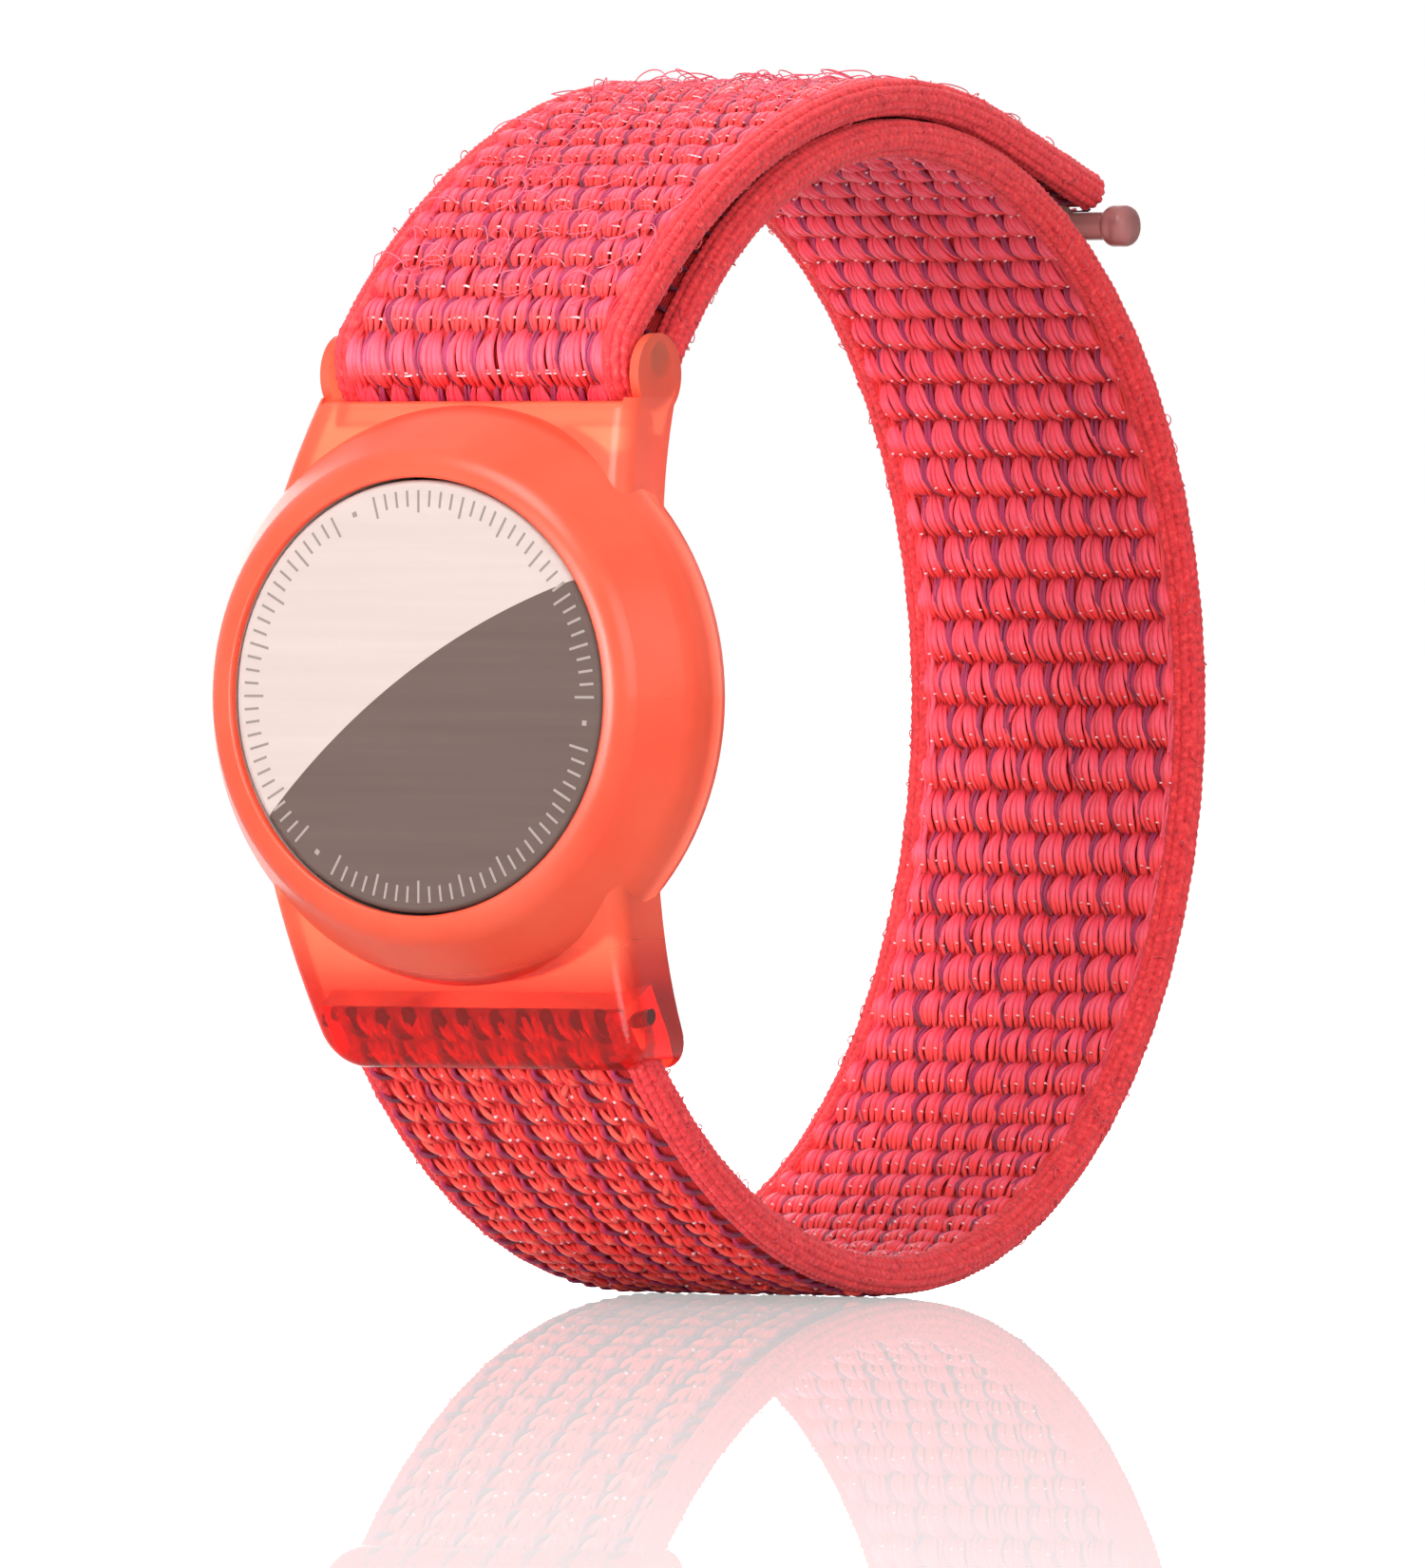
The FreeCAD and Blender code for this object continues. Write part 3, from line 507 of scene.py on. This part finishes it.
def face_dots(centres):
    """Pairs of clear dots low on each pillow, where the monofilament shows between its yarns."""
    t = np.linspace(-1, 1, 5)[None]
    kept = centres[rng.random(len(centres)) < 0.75]
    lines = []
    for shift in (-0.42, 0.36):
        x = kept[:, 1:] + shift + 0.1 * t + jitter((len(kept), 1), 0.08)
        s = kept[:, :1] - 0.72 + jitter((len(kept), 1), 0.12)
        lines.append(stacked(s, x, TOP - 0.14 + 0.14 * (1 - t ** 2)))
    return np.concatenate(lines)


def finish(replaced):
    """Hides the CAD nodes that a piece stands for."""
    if replaced:
        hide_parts(*replaced)


def keep(obj, body, replaced=()):
    """A piece that rides on one body."""
    finish(replaced)
    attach(obj, body)


def round_bar(obj, replaced=()):
    """A piece of the fold, round the bar between the band and the flap: it rides on no body and
    stays where it is built.
    """
    finish(replaced)
    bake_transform(obj)


def settle(obj, body):
    """A set of yarns: on its body, or round the bar."""
    if body:
        keep(obj, body)
    else:
        round_bar(obj)


SHOWS_LINES = ("band_fold", "band_flap")


def build_face(label, first, last, body):
    """The wrist-side face of one run of the band."""
    centres = cells(first, last, ROW_PITCH, FOLD_ROW, COLUMNS, COLUMN_PITCH, COLUMN_PITCH / 2)
    pillows = tapered(f"{label}_pillows", bundles(centres), (0.205, 0.35), (0.2, 0.45), 6, PINK)
    settle(pillows, body)
    inner = centres[np.abs(centres[:, 1] + COLUMN_PITCH / 2) < FACE_HALF - 0.1]
    purple = tapered(f"{label}_sinkers", sinkers(inner), (0.14, 0.4), (0.14, 0.5), 5, PURPLE)
    settle(purple, body)
    if label in SHOWS_LINES:
        clear = yarns(f"{label}_monofilament", weft(first, last), 0.042, 0.042, 5, GLASSY)
        settle(clear, body)
    else:
        dots = tapered(f"{label}_face_dots", face_dots(centres), (0.07, 0.2), (0.07, 0.2), 5,
                       GLASSY)
        settle(dots, body)


def build_back(label, first, last, body):
    """The other face of one run of the band, bare where the hook tape is sewn on."""
    centres = cells(first, last, BACK_ROW, BACK_PHASE, BACK_COLUMNS, BACK_COLUMN, 0)
    s = centres[:, 0]
    centres = centres[(s < HOOK_FROM - TAPE_MARGIN) | (s > HOOK_TO + TAPE_MARGIN)]
    purple = tapered(f"{label}_hooks", hooks(centres), (0.2, 0.35), (0.16, 0.5), 5, HOOKED)
    strong = np.concatenate([ribs(centres, 0.25, 1.0, TOP + 0.02, 1.6),
                             ribs(centres[::2], 1.55, 0.7, TOP, 1.3),
                             ribs(centres[1::3], 0.95, -0.6, TOP, 1.2)])
    strong = strong[np.abs(strong[:, :, 1]).max(1) < FACE_HALF + 0.1]
    coral = tapered(f"{label}_ribs", strong, (0.21, 0.5), (0.17, 0.6), 6, CORAL)
    inner = centres[centres[:, 1] + 2.0 < FACE_HALF]
    lanes = ((0.62, 0.06), (1.02, 0.12), (1.44, 0.04), (1.86, 0.1))
    low = np.concatenate([ribs(inner, place, 0.4, TOP - drop, 1.75) for place, drop in lanes])
    red = tapered(f"{label}_low_ribs", low, (0.22, 0.5), (0.18, 0.6), 5, RED)
    dots = tapered(f"{label}_dots", knots(inner), (0.12, 0.2), (0.12, 0.2), 5, GLASSY)
    for obj in (purple, coral, red, dots):
        settle(obj, body)


def core_section(low, high):
    """Section of the ground weave between two heights, its top waved by the rows of pillows."""
    def section(s):
        wave = 0.07 * np.cos((s - FOLD_ROW) / ROW_PITCH * 2 * math.pi) * (high == CORE_HIGH)
        columns = np.linspace(-CORE_HALF, CORE_HALF, 25)[None]
        upper = np.stack(np.broadcast_arrays(columns, high + wave[:, None]), -1)
        lower = np.stack(np.broadcast_arrays(columns[:, ::-1], low + 0 * s[:, None]), -1)
        return np.concatenate([upper, lower], 1)
    return section


# the cords of a knitted edge, from the wrist side round to the other: x, h and radius
EDGE_CORDS = [(8.95, 0.82, 0.33), (9.42, 0.74, 0.33), (9.76, 0.42, 0.32), (9.84, 0.0, 0.32),
              (9.76, -0.42, 0.32), (9.42, -0.74, 0.33), (8.95, -0.82, 0.33)]


def edge_cord(name, first, last, cords, side):
    """Knitted cords along one edge, each with slanted stitches that alternate from cord to cord."""
    step = STITCH / 4
    count = max(3, int((last - first) / step) + 1)
    s = np.linspace(first, last, count)
    corners = 7
    turn = np.arange(corners) / corners * 2 * math.pi
    flats, stitch_shadings = [], []
    for i, (x, h, radius) in enumerate(cords):
        slant = 1 if (i + round(x * 10)) % 2 else -1
        wave = np.cos(s[:, None] / STITCH * 2 * math.pi + slant * turn[None] + i * 0.7)
        reach = radius * (1 + 0.11 * wave + 0.05 * np.sin(s[:, None] * 1.7 + i))
        ends = np.minimum(1, 0.35 + 2.5 * np.minimum(s - FIRST, FLAP_END - s))[:, None]
        across = side * (x + reach * ends * np.cos(turn)[None])
        height = h + reach * ends * np.sin(turn)[None]
        flats.append(np.stack([np.broadcast_to(s[:, None], across.shape), across, height], -1))
        stitch_shadings.append(wave)
    flat = np.array(flats)
    rings = np.arange(flat.shape[0] * flat.shape[1] * corners).reshape(flat.shape[:3])
    # the last field is how far each stitch stands out, which the edge's material paints as shade in
    # the hollows and highlight on the crests
    return mesh_object(name, bend(flat).reshape(-1, 3), rings, EDGE,
                       {"flat": flat.reshape(-1, 3), "stitch_shading": 0.5 + 0.5 * np.array(stitch_shadings).ravel()})


def border_strand(name, first, last):
    """The long coral-pink strand beside each knitted edge, on the wrist side."""
    count = int((last - first) / 0.4) + 2
    s = np.linspace(first, last, count)
    lines = []
    for side in (-1, 1):
        for lane in (0.0, 0.26):
            x = side * (8.62 - lane) + 0.05 * np.sin(s * 2 * math.pi / ROW_PITCH + lane * 9)
            h = TOP - 0.24 + 0.1 * np.cos((s - FOLD_ROW) * 2 * math.pi / ROW_PITCH)
            lines.append(stacked(s, x, h))
    return yarns(name, np.array(lines), 0.16, 0.16, 6, PINK)


def edge_fuzz(name, first, last):
    """Short loops of filament that stand off both knitted edges."""
    count = int((last - first) * 2.4)
    t = np.linspace(0, 1, 9)[None]
    side = np.where(rng.random((count, 1)) < 0.5, -1, 1)
    turn = rng.uniform(0, 2 * math.pi, (count, 1)) + rng.uniform(2.0, 4.5, (count, 1)) * t
    reach = rng.uniform(0.15, 0.42, (count, 1))
    s = rng.uniform(first, last, (count, 1)) + reach * np.cos(turn)
    h = rng.uniform(-0.75, 0.95, (count, 1)) + reach * np.sin(turn)
    stand_off = rng.uniform(0.05, 0.32, (count, 1)) * np.sin(math.pi * t)
    x = side * (9.95 + stand_off - 0.25 * h ** 2)
    return yarns(name, stacked(s, x, h), 0.04, 0.04, 4, EDGE_FIBRE)


EDGE_FIBRE = yarn_material("edge_fibre", [(0.0, linear(226, 40, 52)), (1.0, linear(255, 104, 110))])

NODES_FOR = {"lower": ("strap_band", "strap_anchor_loop"), "rear": (), "upper": (),
             "fold": ("strap_fold",), "flap": ("strap_flap",)}

for label, (first, last, body) in SECTIONS.items():
    build_face(f"band_{label}", first, last, body)
    build_back(f"band_{label}", first, last, body)
    if body:
        core = ribbon(f"band_{label}_core", first, last, 0.33, core_section(CORE_LOW, CORE_HIGH),
                      CORE)
        keep(core, body, replaced=NODES_FOR[label])
        for side, word in ((-1, "far"), (1, "near")):
            keep(edge_cord(f"band_{label}_edge_{word}", first, last, EDGE_CORDS, side), body)
        keep(border_strand(f"band_{label}_border", first, last), body)
        keep(edge_fuzz(f"band_{label}_edge_fuzz", first + 2.0, last - 0.5), body)
    else:
        for i, (low, high) in enumerate(((CORE_LOW, -0.35), (-0.35, 0.14), (0.14, CORE_HIGH))):
            layer = ribbon(f"band_{label}_core_{i}", first, last, 0.2, core_section(low, high),
                           CORE)
            round_bar(layer, replaced=NODES_FOR[label] if i == 0 else ())
        for side, word in ((-1, "far"), (1, "near")):
            for i, cord in enumerate(EDGE_CORDS):
                obj = edge_cord(f"band_{label}_edge_{word}_{i}", first, last, [cord], side)
                round_bar(obj)
        round_bar(border_strand(f"band_{label}_border", first, last))


BINDING_PITCH = 1.9
BOUND = yarn_material("bound_end", [(0.0, linear(46, 3, 14)), (0.5, linear(24, 2, 8)),
                                    (1.0, linear(80, 6, 22))])
FIBRE = yarn_material("stray_fibre", [(0.0, linear(240, 70, 90)), (1.0, linear(255, 130, 150))])


def stray_fibres(name, first, last, count, body):
    """Fine loops of filament that stand off the worn outer face of the flap."""
    t = np.linspace(0, 1, 15)[None]
    s0 = rng.uniform(first, last, (count, 1))
    x0 = rng.uniform(-8.6, 8.6, (count, 1))
    heading = rng.uniform(0, 2 * math.pi, (count, 1))
    radius = rng.uniform(0.5, 1.7, (count, 1))
    sweep = rng.uniform(1.6, 4.8, (count, 1))
    rise = rng.uniform(0.15, 0.85, (count, 1))
    turn = heading + sweep * t
    s = s0 + radius * np.cos(turn)
    x = np.clip(x0 + radius * np.sin(turn), -9.4, 9.4)
    h = TOP - 0.12 + rise * np.sin(math.pi * t)
    keep(yarns(name, stacked(s, x, h), 0.04, 0.04, 4, FIBRE), body)


def anchor_binding():
    """The dark, folded end of the band in the lower lug: purple yarns round the hidden pin."""
    t = np.linspace(0, 1, 7)[None]
    x0 = np.arange(-8.6, 8.7, BINDING_PITCH)[:, None]
    s = -0.95 + 1.75 * t + jitter((len(x0), 1), 0.1)
    x = x0 + 0.25 * t + jitter((len(x0), 1), 0.12)
    lines = stacked(s, x, 0.3 - TOP)
    keep(tapered("anchor_binding", lines, (0.58, 0.5), (0.34, 0.5), 6, BOUND), "root")


anchor_binding()
stray_fibres("flap_stray_fibres", FOLD_TO + 2.0, BAND_END - 8.0, 260, "flap")


def paint(node, material):
    """Gives a CAD node one material all over."""
    nodes[node].data.materials.clear()
    nodes[node].data.materials.append(material)
    for polygon in nodes[node].data.polygons:
        polygon.material_index = 0


# the lower lug's clearer part: the height and the depth over which it begins, in metres
LUG_BELOW = (-0.0165, -0.0125)
LUG_BEHIND = (-0.0365, -0.0345)


def frosted(name, colour, deep, rough, see_through, low=None):
    """Frosted soft plastic that lets light through, deeper in colour in random clouds, and given a
    low colour over the lower lug, where it is also clearer and smoother.
    """
    shader = Shader(name, Roughness=rough, Transmission_Weight=see_through, IOR=1.4,
                    Specular_IOR_Level=0.3)
    where = shader.place()
    cloud = shader.noise(where, 160.0, 2.0)
    tint = shader.ramp(cloud, [(0.3, deep), (0.7, colour)])
    if low:
        split = shader.add("SeparateXYZ", {"Vector": where})
        fall = shader.add("MapRange", {"Value": split.outputs["Z"], "From Min": LUG_BELOW[0],
                                       "From Max": LUG_BELOW[1], "To Min": 1.0, "To Max": 0.0})
        behind = shader.add("MapRange", {"Value": split.outputs["Y"], "From Min": LUG_BEHIND[0],
                                         "From Max": LUG_BEHIND[1]})
        share = shader.math("MULTIPLY", fall.outputs["Result"], behind.outputs["Result"])
        tint = shader.mix(share, tint, low)
        clearer = shader.math("MULTIPLY", share, 0.3)
        shader.set("Transmission Weight", shader.math("ADD", see_through, clearer))
        smoother = shader.math("MULTIPLY", share, 0.14)
        shader.set("Roughness", shader.math("SUBTRACT", rough, smoother))
    shader.set("Base Color", tint)
    fine = shader.noise(where, 5200.0, 2.0)
    shader.set("Normal", shader.bump(fine, 0.00002, 0.35))
    return shader.material


def plain(name, low, high, roughness, scale=900.0, metallic=0.0, bump=0.00002, **more):
    """A moulded or metal surface with slight mottling and a fine grain."""
    shader = Shader(name, Roughness=roughness, Metallic=metallic, **more)
    where = shader.place()
    grain = shader.noise(where, scale, 3.0, 0.6)
    shader.set("Base Color", shader.ramp(grain, [(0.35, low), (0.65, high)]))
    shader.set("Normal", shader.bump(grain, bump, 0.4))
    return shader.material


cover_low, cover_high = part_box("tag_battery_cover")
cover_x = (cover_low.x + cover_high.x) / 2
cover_z = (cover_low.z + cover_high.z) / 2

paint("case_body", frosted("frosted_case", linear(255, 118, 86), linear(255, 104, 70), 0.3, 0.62,
                           low=linear(253, 44, 28)))
paint("strap_stop_bar", frosted("frosted_stop_bar", linear(184, 124, 120), linear(150, 88, 87),
                                0.35, 0.4))
paint("lower_strap_pin", plain("pin_steel", linear(150, 140, 140), linear(190, 182, 180), 0.3,
                               metallic=1.0))


def in_painted_dark_reflection(shader):
    """Places about the cover's centre, and whether each is in the dark part of its painted
    reflection, a wide circle.
    """
    where = shader.add("Mapping", {"Vector": shader.place(),
                                   "Location": (-cover_x, 0, -cover_z)}).outputs["Vector"]
    split = shader.add("SeparateXYZ", {"Vector": where})
    dx = shader.math("SUBTRACT", split.outputs["X"], SPLIT_CENTRE[0] * MM)
    dz = shader.math("SUBTRACT", split.outputs["Z"], SPLIT_CENTRE[1] * MM)
    reach = shader.math("SQRT", shader.math("ADD", shader.math("MULTIPLY", dx, dx),
                                            shader.math("MULTIPLY", dz, dz)))
    return where, shader.math("LESS_THAN", reach, SPLIT_RADIUS * MM)


def disc_material():
    """The steel cover with a painted reflection: a pale upper part and a dark lower part along a
    bowed line.
    """
    shader = Shader("painted_reflection_cover", Roughness=0.6, Specular_IOR_Level=0.1)
    where, dark_reflection_share = in_painted_dark_reflection(shader)
    grain = shader.noise(shader.stretch(where, (60, 60, 1400)), 1.0, 2.0)
    # painted reflection: pale for the bright surroundings above, dark for the dark below
    pale = shader.ramp(grain, [(0.3, linear(171, 156, 151)), (0.7, linear(175, 160, 155))])
    dark = shader.ramp(grain, [(0.3, linear(86, 71, 66)), (0.7, linear(90, 75, 70))])
    shader.set("Base Color", shader.mix(dark_reflection_share, pale, dark))
    shader.set("Normal", shader.bump(grain, 0.000004, 0.3))
    return shader.material


def circle_through(a, b, c):
    """Centre and radius of the circle through three points."""
    rows = np.array([(2 * (b[0] - a[0]), 2 * (b[1] - a[1])),
                     (2 * (c[0] - a[0]), 2 * (c[1] - a[1]))])
    right = np.array([b[0] ** 2 + b[1] ** 2 - a[0] ** 2 - a[1] ** 2,
                      c[0] ** 2 + c[1] ** 2 - a[0] ** 2 - a[1] ** 2])
    centre = np.linalg.solve(rows, right)
    return centre, float(np.hypot(*(centre - np.array(a))))


# where the line between the painted reflection's pale and dark parts meets the rim, and how far it
# bows, from the disc's centre
SPLIT_CENTRE, SPLIT_RADIUS = circle_through((-10.3, -7.0), (-0.6, 1.5), (10.6, 6.8))
paint("tag_battery_cover", disc_material())
paint("tag_housing", plain("tag_white", linear(238, 235, 231), linear(244, 242, 239), 0.22, 5200.0,
                           bump=0.000003, Coat_Weight=0.4))
paint("tag_cover_insert", plain("tag_black_insert", linear(26, 26, 27), linear(40, 40, 42), 0.5))
paint("tag_antenna_tray", plain("tag_black_tray", linear(22, 22, 24), linear(36, 36, 38), 0.55))
paint("tag_coin_cell", plain("cell_steel", linear(188, 186, 182), linear(214, 212, 208), 0.24,
                             metallic=1.0))
paint("tag_battery_contacts", plain("contact_gold", linear(214, 170, 84), linear(240, 200, 116),
                                    0.28, metallic=1.0))
paint("tag_circuit_board", plain("board_green", linear(18, 78, 48), linear(32, 104, 64), 0.45,
                                 1600.0))
paint("tag_chips", plain("chip_black", linear(24, 24, 26), linear(44, 44, 46), 0.6))
paint("tag_speaker_magnet", plain("magnet_steel", linear(150, 150, 152), linear(182, 182, 184), 0.3,
                                  metallic=1.0))
paint("tag_voice_coil", plain("coil_copper", linear(176, 92, 48), linear(210, 124, 70), 0.35,
                              metallic=1.0))
THREAD = plain("sewing_thread", linear(196, 30, 44), linear(236, 70, 80), 0.6, 2600.0, bump=0.00006)
paint("anchor_stitching", THREAD)
paint("hook_patch_stitching", THREAD)
paint("hook_patch", plain("hook_tape", linear(150, 20, 34), linear(196, 34, 50), 0.65, 2200.0,
                          bump=0.00008))


def hook_tape(first, last):
    """Small nylon hooks standing on the tape under the flap."""
    pitch = 0.95
    s = np.arange(first + 0.6, last - 0.5, pitch)
    x = np.arange(-HOOK_HALF + 0.5, HOOK_HALF - 0.4, pitch)
    grid_s, grid_x = (v.ravel() for v in np.meshgrid(s, x))
    t = np.linspace(0, 1, 6)[None]
    lean = rng.uniform(-0.2, 0.2, (len(grid_s), 1))
    along = grid_s[:, None] + 0.22 * np.sin(t * math.pi * 1.05) + lean * 0.2
    aside = grid_x[:, None] + lean * t
    h = -(TOP - 0.1) - 0.14 * np.sin(t * math.pi / 1.25)
    return stacked(along, aside, h)


hooks_piece = yarns("flap_hook_loops", hook_tape(HOOK_FROM, HOOK_TO), 0.06, 0.06, 4, FIBRE)
keep(hooks_piece, "flap")


def marks_material():
    """Printed marks under the cover's painted reflection: dark on its pale part and light on its
    dark part.
    """
    shader = Shader("scale_marks", Roughness=0.5)
    dark_reflection_share = in_painted_dark_reflection(shader)[1]
    shader.set("Base Color", shader.mix(dark_reflection_share, linear(116, 102, 97), linear(134, 120, 115)))
    return shader.material


def ring_marks():
    """A ring of short scale marks near the cover's rim, in groups."""
    face = cover_low.y / MM
    count, group_size, group_marks = 96, 32, 29
    quads = []
    for i in range(count):
        turn = 2 * math.pi * i / count
        place = i % group_size
        if place < group_marks:
            quads.append((turn, 11.05 if place % 4 else 10.7, 12.0, 0.075))
        elif place == group_marks + 1:
            quads.append((turn, 11.3, 11.6, 0.15))
    points, rings = [], []
    for turn, inner, outer, half in quads:
        base = len(points)
        for depth in (0.05, -0.012):
            for r, w in ((inner, -half), (outer, -half), (outer, half), (inner, half)):
                x = r * math.cos(turn) - w * math.sin(turn)
                z = r * math.sin(turn) + w * math.cos(turn)
                points.append((cover_x + x * MM, (face + depth) * MM, cover_z + z * MM))
        rings.append([[base + k for k in range(4)], [base + 4 + k for k in range(4)]])
    obj = mesh_object("cover_scale_marks", np.array(points), np.array(rings), marks_material(), {})
    obj.data.polygons.foreach_set("use_smooth", np.zeros(len(obj.data.polygons), bool))
    keep(obj, "battery_cover")


ring_marks()

# ---- floor, lights and camera ------------------------------------------------------------------
scene = bpy.context.scene
scene.view_settings.view_transform = "Standard"
scene.view_settings.look = "None"

VIEW_RIGHT = Vector((0.8526, 0.5225, 0.0))
VIEW_BACK = Vector((0.5225, -0.8526, 0.0))
ELEVATION = math.radians(0.6)
DISTANCE = 1.5
SENSOR = 36.0
SCALE = 17.7                    # of the image, at the object, to the millimetre
IMAGE_HEIGHT = 1650
FLOOR_GAP = 0.0002              # the yarns stand a little past the CAD model
AIM = VIEW_RIGHT * -0.00333 + Vector((0, 0, -0.00463))


def make_floor():
    """A pale floor that mirrors the object faintly and fades to plain white."""
    ground = cad_box[0].z - FLOOR_GAP
    size = 6.0
    mesh = bpy.data.meshes.new("floor")
    mesh.from_pydata([(-size, -size, ground), (size, -size, ground), (size, size, ground),
                      (-size, size, ground)], [], [(0, 1, 2, 3)])
    obj = bpy.data.objects.new("floor", mesh)
    scene.collection.objects.link(obj)
    shader = Shader("pale_floor", Roughness=0.9, Base_Color=(0.93, 0.93, 0.93, 1.0))
    gloss = shader.add("BsdfGlossy", {"Color": (1, 1, 1, 1), "Roughness": 0.0})
    reach = shader.add("VectorMath", {0: shader.place()}, operation="LENGTH").outputs["Value"]
    fade = shader.add("MapRange", {"Value": reach, "From Min": 0.0, "From Max": 1.35,
                                   "To Min": 0.58, "To Max": 0.0}).outputs["Result"]
    looked_at = shader.add("LightPath").outputs["Is Camera Ray"]
    strength = shader.add("MapRange", {"Value": looked_at, "To Min": 0.08, "To Max": 1.22})
    glow = shader.add("Emission", {"Color": (1, 1, 1, 1), "Strength": strength.outputs["Result"]})
    base = shader.add("MixShader", {"Fac": 0.8})
    shader.links.new(shader.surface.outputs[0], base.inputs[1])
    shader.links.new(glow.outputs[0], base.inputs[2])
    top = shader.add("MixShader", {"Fac": fade})
    shader.links.new(base.outputs[0], top.inputs[1])
    shader.links.new(gloss.outputs[0], top.inputs[2])
    shader.links.new(top.outputs[0], shader.nodes["Material Output"].inputs["Surface"])
    mesh.materials.append(shader.material)


def make_light(name, place, size, power):
    """A white softbox that faces the object."""
    data = bpy.data.lights.new(name, "AREA")
    data.size, data.energy = size, power
    obj = bpy.data.objects.new(name, data)
    obj.location = place
    obj.rotation_mode = "QUATERNION"
    obj.rotation_quaternion = (-Vector(place)).to_track_quat("-Z", "Y")
    scene.collection.objects.link(obj)


def make_world():
    """White to look at, and a dimmer light than that on the object, mostly from above."""
    world = bpy.data.worlds.new("studio")
    world.use_nodes = True
    tree = world.node_tree
    background = tree.nodes["Background"]
    background.inputs["Color"].default_value = (1, 1, 1, 1)
    background.inputs["Strength"].default_value = 1.0
    scene.world = world
    path = tree.nodes.new("ShaderNodeLightPath")
    aim = tree.nodes.new("ShaderNodeTexCoord")
    height = tree.nodes.new("ShaderNodeSeparateXYZ")
    tree.links.new(aim.outputs["Generated"], height.inputs[0])
    sky = tree.nodes.new("ShaderNodeMapRange")
    sky.inputs["To Min"].default_value = 0.22
    sky.inputs["To Max"].default_value = 0.86
    tree.links.new(height.outputs["Z"], sky.inputs["Value"])
    dim = tree.nodes.new("ShaderNodeMapRange")
    tree.links.new(sky.outputs["Result"], dim.inputs["To Min"])
    dim.inputs["To Max"].default_value = 1.0
    seen = tree.nodes.new("ShaderNodeMath")
    seen.operation = "MAXIMUM"
    tree.links.new(path.outputs["Is Camera Ray"], seen.inputs[0])
    tree.links.new(path.outputs["Is Glossy Ray"], seen.inputs[1])
    tree.links.new(seen.outputs[0], dim.inputs["Value"])
    tree.links.new(dim.outputs["Result"], background.inputs["Strength"])


def make_camera():
    """A long lens almost level with the object, at the photograph's angle."""
    data = bpy.data.cameras.new("camera")
    data.sensor_width = SENSOR
    data.lens = SCALE * DISTANCE / MM * SENSOR / IMAGE_HEIGHT
    data.clip_end = 20.0
    obj = bpy.data.objects.new("camera", data)
    back = VIEW_BACK * math.cos(ELEVATION) + Vector((0, 0, math.sin(ELEVATION)))
    obj.location = AIM + back * DISTANCE
    obj.rotation_mode = "QUATERNION"
    obj.rotation_quaternion = (-back).to_track_quat("-Z", "Y")
    scene.collection.objects.link(obj)
    scene.camera = obj


make_floor()
make_world()
make_light("key", VIEW_BACK * 0.45 - VIEW_RIGHT * 0.35 + Vector((0, 0, 0.55)), 0.35, 4.3)
make_light("fill", VIEW_BACK * 0.6 + VIEW_RIGHT * 0.3 + Vector((0, 0, 0.22)), 0.4, 2.35)
make_light("low", VIEW_BACK * 0.4 - VIEW_RIGHT * 0.35 + Vector((0, 0, 0.02)), 0.12, 1.8)
make_light("back", VIEW_BACK * -0.7 + Vector((0, 0, 0.16)), 0.5, 2.0)
make_camera()
